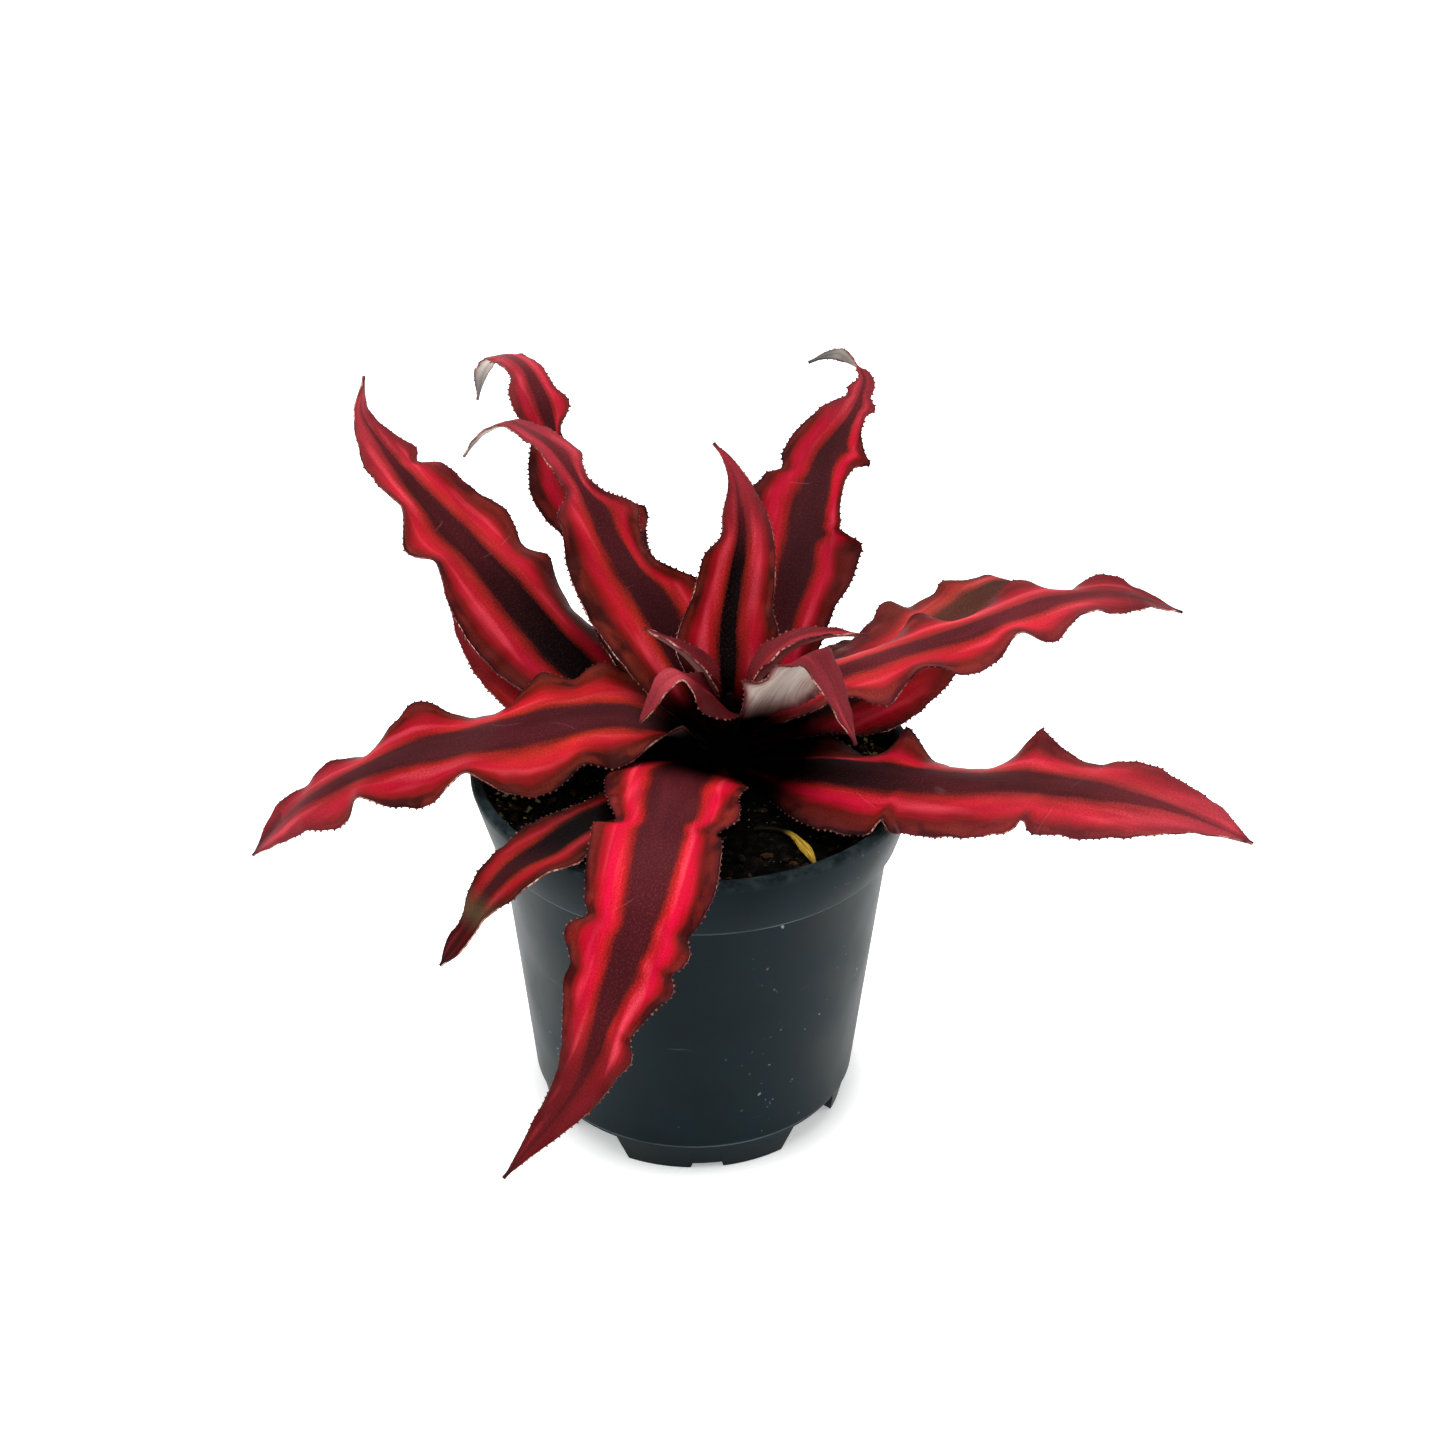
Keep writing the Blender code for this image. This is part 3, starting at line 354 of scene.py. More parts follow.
# %% The four young leaves in the middle
INNER_LEAVES = (
    Leaf("leaf_inner_left", slot="leaf_inner",
         midrib=((229, 4.3, 101), (225, 5.6, 108), (218, 7.8, 112), (215, 11.3, 115.3), (213, 14.2, 117.1),
                 (212, 17.8, 115.9), (20.7, 112.1), (211.4, 24.3, 107.3)),
         left=((0, 2.5), (12, 6.2, 2.3), (22, 8.5, -2.9), (32, 6, -5), (40, 4, -4), (48, 2.5, -1.5),
               (58, 2.5), (70, 2.5), (85, 2)),
         right=((0, 2), (12, 2.5, 4), (22, 2.5, 4.5), (32, 3, 4), (40, 2.8, 2.3), (48, 3, 0.4), (58, 4.2),
                (70, 3.2), (85, 2.4))),
    Leaf("leaf_inner_right", slot="leaf_inner",
         midrib=((-58, 4.7, 99), (-53, 9.5, 108.5), (-50.6, 13.7, 115.4), (-48.5, 17.9, 121.1),
                 (-47.5, 22.2, 125.8), (-46.5, 25.7, 128.6), (-46, 29.9, 125.4), (-45.6, 33.8, 119.8),
                 (-45.4, 39.2, 111.1)),
         left=((0, 2.5), (12, 4.5, -1.5), (17, 6, -2.5), (22, 8.5, -4), (27, 11, -5.2), (32, 12, -5.1),
               (42, 11.2, -4.1), (50, 9, -0.5), (58, 7, -0.5), (68, 5, -1), (78, 3.5), (90, 1.8)),
         right=((0, 2.5), (12, 2.5, 0.4), (20, 3, 1.4), (27, 4, 3), (30, 4.4, 4.6), (32.5, 4.4, 3.4),
                (36, 4.4, 1.4), (42, 5.5, 0.5), (50, 4.5, 1.5), (58, 4.5, -1), (68, 4.5, 0.5), (78, 3.3),
                (90, 1.8))),
    Leaf("leaf_inner_folded", cup=0.8, slot="leaf_inner",
         midrib=((-25, 4.3, 103.5), (-12.8, 7, 112.5), (-3.2, 10.7, 117), (2.3, 15.6, 120.5),
                 (6.3, 23.5, 122), (8.4, 32.4, 121)),
         left=((0, 2), (30, 4.5), (60, 3), (85, 1)),
         right=((0, 1.5), (12, 1.4), (28, 2), (42, 3.4), (60, 3), (85, 1))),
    Leaf("leaf_inner_spike", cup=0.9, root=(7.0, 3.8), slot="leaf_inner",
         midrib=((172, 3.3, 104.2), (5.1, 111), (8, 115.3), (11, 118.2), (19, 123.2)),
         left=((0, 2), (30, 3.5), (70, 1.5)),
         right=((0, 2), (30, 3.5), (70, 1.5))),
)
print("inner leaves:", len(INNER_LEAVES))

# %% The leaves that hang behind the pot, which the photograph hides
REAR_LEAVES = (
    Leaf("leaf_rear_right",
         midrib=((48, 5.4, 89.5), (22, 90.2), (40, 94.6), (52, 95.6), (64, 93), (78, 84), (87, 74)),
         left=((20, 9, -0.5), (40, 11.5, -1), (55, 12), (75, 9, -1)),
         right=((20, 10, -1), (40, 12), (60, 12, -2), (80, 7))),
    Leaf("leaf_rear",
         midrib=((82, 5.3, 91.3), (22, 91.8), (36, 95), (50, 98), (81, 70, 98), (80, 95, 91), (108, 84)),
         left=((20, 11), (38, 13, 1), (50, 13, -1.5), (62, 13, 1.5), (78, 9, -1)),
         right=((20, 10, 1), (34, 12), (46, 12, 1), (60, 12, -1.5), (75, 9, 1))),
    Leaf("leaf_rear_low",
         midrib=((104, 5.4, 86.7), (22, 87.2), (34, 90), (45, 93.4), (58, 95), (72, 93), (105, 88, 86),
                 (106, 99, 77)),
         left=((20, 9, -1), (40, 11, -0.5), (60, 11, 1), (80, 7, -1)),
         right=((20, 9, -1), (40, 11), (60, 11, -1), (80, 7, 1))),
    Leaf("leaf_rear_left",
         midrib=((132, 5.4, 88), (22, 88.6), (34, 90.4), (45, 93.4), (58, 94.8), (70, 93), (84, 87),
                 (95, 78)),
         left=((20, 8, -1.5), (40, 9, -1.5), (60, 10.5), (80, 8)),
         right=((20, 9, 1.5), (40, 10.5, 1), (60, 10), (80, 7, 1))),
)
print("rear leaves:", len(REAR_LEAVES))

# %% The tip of an old leaf on the soil
DEAD_LEAF = (
    Leaf("leaf_dead", cup=0.3, root=(13.0, -21.0), slot="leaf_dead", spines=False,
         midrib=((-5, 0.5, 86.4), (-8, 4.1, 86.8), (-20, 9, 87), (-37, 14.6, 86.8), (-48, 21, 86.6)),
         left=((0, 0.4), (35, 0.5), (55, 1), (72, 1.3), (88, 0.7)),
         right=((0, 0.4), (35, 0.5), (55, 1), (72, 1.2), (88, 0.6))),
)

# %% [markdown]
# ## From a row to a surface
#
# The midrib's points are joined by a smooth curve. At each place along it there is a direction to the
# left and one up off the blade, and the blade is drawn across them: its half width from the margin's
# row, and its rise from the channel in the middle and the lift of the margin, which grows fast towards
# the margin. The same formula drew the CAD solids, so the fine blade lies where the coarse one is.

# %% Smooth curves through a few points
MIDRIB_SAMPLES = 400
TIP_HALF_WIDTH = 0.4


def smooth(rows, places):
    """The rows' values at the places along, on a cubic that meets every row and has no corner."""
    rows = np.asarray(rows, float)
    at, values = rows[:, 0], rows[:, 1:]
    slopes = np.gradient(values, at, axis=0)
    places = np.clip(places, at[0], at[-1])
    i = np.clip(np.searchsorted(at, places, side="right") - 1, 0, len(at) - 2)
    step = (at[i + 1] - at[i])[:, None]
    u = (places - at[i])[:, None] / step
    start = (1 + 2 * u) * (1 - u) ** 2 * values[i] + u * (1 - u) ** 2 * step * slopes[i]
    end = u * u * (3 - 2 * u) * values[i + 1] + u * u * (u - 1) * step * slopes[i + 1]
    return start + end


def lengths_along(points):
    steps = np.linalg.norm(np.diff(points, axis=0), axis=1)
    return np.concatenate([[0.0], np.cumsum(steps)])


def unit(vectors):
    return vectors / np.linalg.norm(vectors, axis=-1)[..., None]


# %% The midrib, with its directions
def midrib_frames(leaf, along):
    """Points of the midrib, the directions to the left and up off the blade, and the leaf's length."""
    azimuth, out, height = np.array(leaf.midrib, float).T
    turn = np.radians(azimuth)
    points = np.stack([leaf.root[0] + out * np.cos(turn), leaf.root[1] + out * np.sin(turn), height], 1)
    stations = lengths_along(points)
    fine = np.linspace(0, stations[-1], MIDRIB_SAMPLES)
    curve = smooth(np.column_stack([stations, points, azimuth]), fine)
    path, heading = curve[:, :3], np.radians(curve[:, 3])
    travelled = lengths_along(path)
    wanted = along * travelled[-1]

    def read(columns):
        return np.stack([np.interp(wanted, travelled, column) for column in columns.T], 1)

    forward = unit(read(np.gradient(path, travelled, axis=0)))
    sideways = read(np.stack([-np.sin(heading), np.cos(heading), 0 * heading], 1))
    sideways = unit(sideways - (sideways * forward).sum(1)[:, None] * forward)
    upward = np.cross(forward, sideways)
    roll = np.radians(smooth(leaf.roll, along))
    left = np.cos(roll) * sideways + np.sin(roll) * upward
    up = np.cos(roll) * upward - np.sin(roll) * sideways
    return read(path), left, up, travelled[-1]


def length_of(leaf):
    return midrib_frames(leaf, np.zeros(1))[3]


# %% The blade
CRIMP_DEPTH = 0.14
CRIMP_WAVES = (5.3, 8.7, 12.9)
CRIMP_SHIFT = 2.4  # from one leaf to the next, so that no two are alike
CUP_CURVE, LIFT_CURVE = 1.4, 2.6


def crimp(leaf, along, length):
    """The small puckers between the waves of a margin: three sines of a few millimetres, by leaf."""
    phase = CRIMP_SHIFT * ALL_LEAVES.index(leaf)
    waves = sum(np.sin(2 * np.pi * along * length / wave + phase * wave) for wave in CRIMP_WAVES)
    return CRIMP_DEPTH * waves * np.clip(np.minimum(along / 0.2, (1 - along) / 0.1), 0, 1)


def blade_points(leaf, along, across):
    """Points of the blade's middle surface, in metres, the half width and the length.

    Places across run from -1, the right margin, to 1, the left one.
    """
    middle, left, up, length = midrib_frames(leaf, along)
    margin = np.where((across > 0)[:, None], smooth(leaf.left, along), smooth(leaf.right, along))
    half_width = np.maximum(margin[:, 0], TIP_HALF_WIDTH)
    side = np.abs(across)
    lift = margin[:, 1] + np.sign(across) * crimp(leaf, along, length)
    rise = leaf.cup * half_width * side**CUP_CURVE + lift * side**LIFT_CURVE
    points = middle + left * (half_width * across)[:, None] + up * rise[:, None]
    return points * MM + np.array(AXIS), half_width, length


ALL_LEAVES = OUTER_LEAVES + INNER_LEAVES + REAR_LEAVES + DEAD_LEAF
print("longest leaf", round(max(length_of(leaf) for leaf in ALL_LEAVES)), "mm")

# %% [markdown]
# ## The colours of a leaf
#
# The stripes run the length of the leaf at the same share of its width, so the material reads two
# numbers that the mesh carries: the place along and the place across. Three Map Range nodes turn the
# place across into a place on a colour ramp: bright band, then brown margin. Where the stripe ends and
# the brown begins, how orange the band is, how black the stripe, and where the tip melts into one colour
# differ from leaf to leaf and along it, so they are numbers on the mesh too, read off rows like the
# margins. Noise drawn out along the blade makes the edges of the stripes feathery, as they are in life.

# %% What a look says
Rows = tuple | float


@dataclass
class Look:
    """The colours of one leaf, in rows of (place along, value or values), or one value for all of it.

    Everything is in per cent here, and in shares once the look is made.
    """

    # Where the dark stripe ends and where the brown begins, on the left half and then on the right one
    stripes: tuple = ((10, 30, 66, 30, 66), (50, 23, 70, 23, 70), (100, 5, 80, 5, 80))
    orange: Rows = 35  # the band: 0 pink, 100 orange
    light: Rows = 90  # painted light and shade: lower where the leaf lies in shade, above 100 a painted highlight, lower at some tips for their darker colour
    black: Rows = ((0, 90), (50, 50), (100, 30))  # the stripe: 0 wine red, 100 black
    faded: Rows = ((60, 0), (90, 85))  # how far stripes and bands melt into one colour: real fading at the tip, and painted sheen on the middle of some flat leaves
    pale: Rows = 50  # that colour: 0 dark wine red, 100 rose
    bare: Rows = 0  # how far the underside has lost its silver
    dry: Rows = 0  # how withered it is

    def __post_init__(self):
        for field in fields(self):
            rows = getattr(self, field.name)
            rows = rows if isinstance(rows, tuple) else ((0, rows), (100, rows))
            setattr(self, field.name, np.array(rows) / 100)


# %% Looks that differ from leaf to leaf
UNSTRIPED = ((0, 1, 50, 1, 50), (100, 1, 80, 1, 80))
# A light row paints shade where a leaf lies in shadow, and light where it goes above 100
LOOKS = {
    # Painted shade: low light near the base; the mild fading to pale mid-blade is painted sheen
    "leaf_left_back": Look(
        stripes=((20, 33, 72, 25, 62), (34, 33, 74, 26, 66), (45, 30, 80, 24, 62), (55, 28, 84, 21, 72),
                 (70, 28, 86, 21, 72), (80, 20, 86, 15, 68), (90, 6, 88, 5, 80)),
        orange=((30, 5), (45, 40), (100, 50)), light=((20, 50), (42, 80), (55, 100), (100, 105)),
        black=((30, 100), (45, 90), (60, 60), (80, 40)), faded=((35, 0), (55, 12), (75, 15), (90, 70)),
        pale=60),
    "leaf_back_tall": Look(
        stripes=((30, 25, 55, 30, 75), (62, 30, 75, 12, 80), (75, 30, 80, 20, 85)), orange=5,
        light=((30, 80), (60, 85), (100, 100)), black=((30, 80), (60, 30), (100, 10)),
        faded=((62, 0), (74, 50), (90, 90)), pale=80),
    "leaf_back_curled": Look(
        stripes=((20, 24, 66, 32, 80), (35, 24, 70, 37, 76), (46, 22, 74, 26, 68), (55, 15, 80, 42, 80),
                 (70, 15, 85, 30, 85)), orange=((10, 80), (35, 55), (60, 20)), light=85,
        black=((20, 60), (50, 35)), faded=((45, 0), (60, 50), (75, 80)), pale=70),
    "leaf_upright": Look(
        stripes=((15, 17, 75, 25, 76), (50, 17, 80, 19, 80), (65, 12, 82, 22, 82), (85, 3, 85, 5, 85)),
        orange=((20, 20), (40, 50), (60, 40)), light=((10, 50), (30, 85), (52, 85), (57, 95)),
        black=((0, 100), (50, 100), (68, 75), (90, 40)), faded=((55, 0), (74, 65), (100, 90)), pale=40),
    "leaf_right_back": Look(
        stripes=((27, 25, 78, 30, 76), (36, 26, 76, 30, 72), (44.3, 27, 74, 34, 72), (46, 27, 74, 48, 90),
                 (50, 27, 75, 54, 92), (55, 24, 78, 58, 92), (60, 18, 76, 46, 88), (66, 10, 76, 42, 72),
                 (71, 6, 80, 42, 86), (79, 3, 80, 25, 70)), orange=0, light=((74, 88), (82, 60), (90, 70)),
        black=50, faded=((70, 0), (82, 80)), pale=75),
    # Painted sheen: the fading to pale mid-blade; light above 100 is painted light, and the dimmer tip is
    # its darker colour
    "leaf_right_long": Look(
        stripes=((20, 16, 60, 28, 70), (38, 13, 60, 26, 72), (50, 6, 62, 35, 72), (62, 12, 70, 32, 76),
                 (77, 6, 80, 28, 80)), orange=((20, 80), (60, 50), (80, 90)),
        light=((20, 120), (62, 115), (80, 90), (100, 70)), black=10, faded=((20, 15), (60, 20), (85, 85)),
        pale=((60, 80), (85, 30))),
    "leaf_right_under": Look(
        stripes=((20, 25, 60, 45, 95), (45, 20, 60, 40, 90), (58, 25, 56, 30, 80), (66, 34, 85, 30, 80),
                 (85, 34, 85, 30, 80)), orange=((20, 0), (40, 30), (50, 100)),
        light=((20, 105), (42, 115), (60, 115), (100, 80)), black=((40, 70), (65, 70)),
        faded=((30, 0), (50, 25), (100, 35)), pale=((50, 60), (65, 40)),
        dry=((50, 0), (62, 15), (100, 20))),
    # Painted sheen: the fading to pale mid-blade; the low light at the base is painted shade
    "leaf_right_low": Look(
        stripes=((11.5, 10, 20, 50, 72), (20, 28, 42, 40, 70), (26, 32, 66, 36, 72), (30, 32, 68, 36, 74),
                 (38, 34, 76, 33, 76), (49, 36, 78, 28, 78), (56, 33, 72, 28, 80), (65, 30, 84, 28, 82),
                 (77, 24, 86, 20, 86), (90, 8, 90, 8, 90)), orange=((20, 0), (45, 35), (70, 60), (100, 70)),
        light=((10, 60), (25, 90), (50, 100)), black=((10, 100), (25, 85), (45, 45), (80, 40)),
        faded=((35, 0), (55, 20), (76, 35), (95, 85)), pale=70),
    "leaf_left_long": Look(
        stripes=((12, 35, 66, 25, 74), (24, 38, 78, 28, 77), (31, 41, 86, 32, 78), (46, 37, 88, 40, 80),
                 (54, 35, 86, 33, 80), (65, 34, 86, 20, 80), (77, 34, 88, 6, 86), (90, 20, 90, 0, 90)),
        orange=((15, 95), (40, 70), (55, 30), (80, 40)), light=((10, 100), (60, 97), (80, 85), (100, 70)),
        black=((15, 30), (60, 40), (80, 30)), faded=((65, 0), (88, 80)), pale=35),
    # Painted light: light above 100 brightens the bands
    "leaf_front": Look(
        stripes=((10, 45, 86, 40, 78), (19, 40, 88, 37, 76), (31, 39, 72, 41, 80), (38, 34, 70, 34, 82),
                 (50, 32, 76, 28, 80), (62, 25, 80, 27, 78), (72, 17, 82, 22, 82), (85, 7, 85, 8, 85)),
        orange=((10, 40), (35, 0), (60, 0), (75, 40)),
        light=((0, 90), (30, 128), (55, 128), (70, 105), (78, 85)),
        black=((10, 80), (20, 35), (40, 40), (70, 50)), faded=((64, 0), (80, 80), (100, 95)), pale=5),
    # Painted shade: this leaf lies under the front leaves, so its light is low
    "leaf_left_front": Look(
        stripes=((45, 10, 70, 64, 85), (64, 27, 75, 36, 85), (76, 20, 80, 30, 85), (90, 10, 80, 10, 85)),
        orange=80, light=((30, 22), (50, 40), (62, 55), (80, 50), (100, 35)),
        black=((40, 100), (60, 90), (70, 50), (80, 10)), faded=((76, 0), (88, 90)), pale=0,
        dry=((80, 0), (83, 50), (85.5, 85), (87.5, 50), (90, 0), (100, 0))),
    "leaf_left_under": Look(
        stripes=((0, 0, 5, 0, 5), (100, 0, 5, 0, 5)), orange=100),
    "leaf_inner_left": Look(
        stripes=UNSTRIPED, light=((10, 110), (20, 80), (27, 50), (40, 60), (55, 95), (80, 95), (100, 80)),
        faded=90, pale=((30, 5), (45, 15), (55, 65), (80, 45)),
        bare=((0, 95), (19, 95), (23, 20), (36, 30), (50, 80))),
    # Painted shade: no light at the base, which lies in the crown's shadow; light above 100 brightens the
    # silver
    "leaf_inner_right": Look(
        stripes=UNSTRIPED,
        light=((0, 0), (12, 2), (15, 40), (20, 70), (26, 112), (52, 112), (60, 85), (100, 80)), faded=90,
        pale=((60, 30), (70, 50), (90, 35)), bare=((0, 80), (16, 60), (22, 30), (28, 0), (100, 0))),
    "leaf_inner_folded": Look(
        stripes=UNSTRIPED, orange=60, light=75, faded=75, pale=((0, 10), (50, 40), (100, 50)), bare=75),
    "leaf_inner_spike": Look(
        stripes=UNSTRIPED, light=70, faded=85, pale=35, bare=70),
}
print("leaves with a look of their own:", len(LOOKS))


# %% Colours laid over one another
# A Mix node for colours has the factor in socket 0, the colours in 6 and 7, and the mixture in output 2
OVER = {"data_type": "RGBA", "out": 2}
DIMMED = {"blend_type": "MULTIPLY", **OVER}


def set_stops(colour, *stops):
    """Gives the ramp that this colour comes from its stops, as (position, hex colour)."""
    elements = colour.node.color_ramp.elements
    while len(elements) < len(stops):
        elements.new(0.5)
    for element, (position, shown) in zip(elements, stops):
        element.position = position
        element.color = linear(shown)
    return colour


# %% Patterns on a blade
MM_PER_CM = 10


def blade_noise(along_mm, across_mm, detail=2.0):
    """Noise in patches that long and that wide on the blade, from 0 to 1."""
    place = add_node("UVMap", uv_map="blade")
    place = add_node("Mapping", place, Scale=(MM_PER_CM / along_mm, MM_PER_CM / across_mm, 1))
    return add_node("TexNoise", place, noise_dimensions="2D", Scale=1.0, Detail=detail)


def off_from(value, middle):
    """How far the value is from that one, either way."""
    return add_node("Math", add_node("Math", value, middle, operation="SUBTRACT"), operation="ABSOLUTE")


def sway(noise_value, strength, value):
    """The value pushed up and down by the noise, which runs from 0 to 1."""
    push = add_node("Math", noise_value, 0.5, operation="SUBTRACT")
    return add_node("Math", push, strength, value, operation="MULTIPLY_ADD")


# %% The painted shade of the crown
# Where the leaf bases crowd round the stem they are almost black, partly from pigment and partly from
# painted shade for their lack of light
CROWN_CENTRE = AXIS + Vector((*CROWN, 92.0)) * MM
CROWN_DARK, CROWN_LIGHT = 18 * MM, 33 * MM
CROWN_FLATNESS = (1, 1, 1.6)


def crown_shade():
    """Almost 0 in the crown and 1 outside it, by the distance from its centre."""
    place = add_node("TexCoord", out="Object")
    offset = add_node("VectorMath", place, CROWN_CENTRE, operation="SUBTRACT")
    flattened = add_node("VectorMath", offset, CROWN_FLATNESS, operation="MULTIPLY")
    away = add_node("VectorMath", flattened, operation="LENGTH", out="Value")
    return add_node("MapRange", away, CROWN_DARK, CROWN_LIGHT, 0.02, 1, **SMOOTH)


# %% The banded upper side
# A leaf's cuticle: a waxy skin over coloured cells, satin to the eye, with scales as fine as dust
BAND_PINK = ((0.25, "#4E100F"), (0.34, "#8A1816"), (0.42, "#B21222"), (0.54, "#BE0A30"),
             (0.63, "#A40A1E"), (0.69, "#841016"), (0.74, "#64120F"), (0.88, "#6A1C17"),
             (0.96, "#541618"), (1, "#24080B"))
BAND_ORANGE = ((0.25, "#50160F"), (0.34, "#882218"), (0.42, "#B4281E"), (0.54, "#C01C24"),
               (0.64, "#961612"), (0.69, "#7A1612"), (0.74, "#66180F"), (0.88, "#74281A"),
               (0.96, "#601E18"), (1, "#24080B"))


def band_place(nudges):
    """A place on the ramps: 0 at the midrib, 0.3 where the stripe ends, 0.7 where the brown begins."""
    across, stripe, brown = (add_node("Attribute", attribute_name=name, out="Fac")
                             for name in ("across", "stripe", "brown"))
    across = add_node("Math", across, operation="ABSOLUTE")
    for noise_value, strength in nudges:
        across = sway(noise_value, strength, across)
    in_stripe = add_node("MapRange", across, 0, stripe, 0, 0.3)
    in_band = add_node("MapRange", across, stripe, brown, 0, 0.4)
    in_brown = add_node("MapRange", across, brown, 1, 0, 0.3)
    inner = add_node("Math", in_stripe, in_band, operation="ADD")
    return add_node("Math", inner, in_brown, operation="ADD")


def hair_scratches():
    """A few thin wandering lines: where one noise crosses a half, inside the patches of another."""
    lines = add_node("MapRange", off_from(blade_noise(60, 90, 1.0), 0.5), 0, 0.0016, 1, 0)
    patches = add_node("MapRange", blade_noise(13, 7, 0.0), 0.6, 0.66, 0, 0.1)
    return add_node("Math", lines, patches, operation="MULTIPLY")


def make_banded():
    banded = new_material("leaf cuticle, banded", "#B01C2C", 0.4, 1.42)
    along, orange, light, black, faded, pale, dry = (
        add_node("Attribute", attribute_name=name, out="Fac")
        for name in ("along", "orange", "light", "black", "faded", "pale", "dry"))
    # The scales are a tenth of a millimetre wide, too fine to show, so their grain is drawn coarser
    grain = blade_noise(0.5, 0.4, 1.0)
    streaks = blade_noise(14, 0.5, 3.0)
    clouds = blade_noise(9, 3.5)
    place = band_place(((streaks, 0.08), (clouds, 0.09), (grain, 0.06)))
    # Band and brown margin, and where they are burnt nearly black in patches
    pink = set_stops(add_node("ValToRGB", place), *BAND_PINK)
    warm = set_stops(add_node("ValToRGB", place), *BAND_ORANGE)
    colour = add_node("Mix", sway(clouds, 0.9, orange), _6=pink, _7=warm, **OVER)
    in_brown = add_node("MapRange", place, 0.72, 0.8, 0, 0.75)
    patches = add_node("MapRange", blade_noise(8, 6), 0.46, 0.62)
    burnt = add_node("Math", in_brown, patches, operation="MULTIPLY")
    # The one colour of a faded blade, which is also painted sheen on some leaves, and a painted sheen in
    # spots along the middle of the band
    plain = add_node("Mix", pale, _6="#581215", _7="#B8424E", **OVER)
    spots = add_node("MapRange", blade_noise(26, 3.2, 1.0), 0.48, 0.7, 0, 0.55)
    mid_band = add_node("MapRange", off_from(place, 0.52), 0.03, 0.14, 1, 0)
    painted_sheen = add_node("Math", spots, mid_band, operation="MULTIPLY")
    # The dark stripe, with a bloom of dust, which shows through the faded colour a little
    stripe = add_node("Mix", black, _6="#561A20", _7="#060102", **OVER)
    bloom = add_node("MapRange", grain, 0.55, 0.75, 0, 0.16)
    stripe = add_node("Mix", bloom, _6=stripe, _7="#70363E", **OVER)
    unfaded = add_node("Math", faded, -0.75, 1.0, operation="MULTIPLY_ADD")
    in_stripe = add_node("MapRange", place, 0.22, 0.36, 1, 0, **SMOOTH)
    in_stripe = add_node("Math", in_stripe, unfaded, operation="MULTIPLY")
    # All of it laid over the band, with withered skin, the horny tip and the scratches on top
    tip = add_node("MapRange", along, 0.955, 1, 0, 0.85)
    coats = ((burnt, "#26070A"), (faded, plain), (painted_sheen, "#E84A58"), (in_stripe, stripe), (dry, "#6A543C"),
             (tip, "#2A1C22"), (hair_scratches(), "#B58A90"))
    for factor, coat in coats:
        colour = add_node("Mix", factor, _6=colour, _7=coat, **OVER)
    # Uneven dust, and painted light and shade: the crown's darkness and the leaf's light row, which also
    # take the reflection away in the crown
    crown = crown_shade()
    dust = add_node("MapRange", grain, 0.3, 0.7, 0.84, 1.14)
    wash = add_node("MapRange", blade_noise(24, 7), 0.35, 0.65, 0.74, 1.1)
    dusty = add_node("Math", dust, wash, operation="MULTIPLY")
    lit = add_node("Math", crown, light, operation="MULTIPLY")
    factor = add_node("Math", dusty, lit, operation="MULTIPLY")
    ribs = add_node("Bump", Height=streaks, Strength=0.2, Distance=0.3 * MM)
    shade(Base_Color=add_node("Mix", 1.0, _6=colour, _7=factor, **DIMMED),
          Specular_IOR_Level=add_node("Math", crown, 0.05, operation="MULTIPLY"),
          Roughness=add_node("MapRange", grain, 0.3, 0.7, 0.4, 0.52),
          Normal=add_node("Bump", Height=grain, Strength=0.25, Distance=0.08 * MM, Normal=ribs))
    return banded


# %% The silver underside
# Scales that drink dew cover the underside: a matt silver felt in fine lines over brownish pink skin
def make_silver():
    silver = new_material("leaf scales, silver", "#A89A98", 0.7, 1.4)
    along, across, light, bare = (add_node("Attribute", attribute_name=name, out="Fac")
                                  for name in ("along", "across", "light", "bare"))
    lines = blade_noise(14, 0.35, 3.0)
    place = sway(blade_noise(7, 3), 0.3, add_node("Math", across, operation="ABSOLUTE"))
    skin = set_stops(add_node("ValToRGB", place), (0, "#B2A69C"), (0.5, "#CAC2B6"), (0.8, "#B49C92"),
                     (0.93, "#7A4C48"), (1, "#4A2024"))
    between_lines = add_node("MapRange", lines, 0.45, 0.65, 0, 0.4)
    tip = add_node("MapRange", along, 0.86, 1, 0, 0.85, **SMOOTH)
    for factor, coat in ((between_lines, "#84585A"), (tip, "#3C3E46"), (bare, "#8C2C34")):
        skin = add_node("Mix", factor, _6=skin, _7=coat, **OVER)
    # Painted shade: the crown's darkness and the leaf's light row dim the skin and its reflection
    lit = add_node("Math", crown_shade(), light, operation="MULTIPLY")
    shade(Base_Color=add_node("Mix", 1.0, _6=skin, _7=lit, **DIMMED),
          Specular_IOR_Level=add_node("Math", lit, 0.4, operation="MULTIPLY"),
          Normal=add_node("Bump", Height=lines, Strength=0.35, Distance=0.15 * MM))
    return silver


# %% The edge and the spines
# Horn: hardened leaf tissue, satin and dark, here and there worn pale along the edge
def make_edge():
    edge = new_material("leaf edge, horny", "#4A1A1C", 0.5, 1.5, Specular_IOR_Level=0.1)
    horn = set_stops(add_node("ValToRGB", blade_noise(5, 5)), (0.3, "#34101A"), (0.46, "#5A2224"),
                     (0.56, "#9A5A50"), (0.68, "#E0B4A4"))
    # The crown's painted shade darkens the horn near the stem
    shade(Base_Color=add_node("Mix", 1.0, _6=horn, _7=crown_shade(), **DIMMED))
    return edge


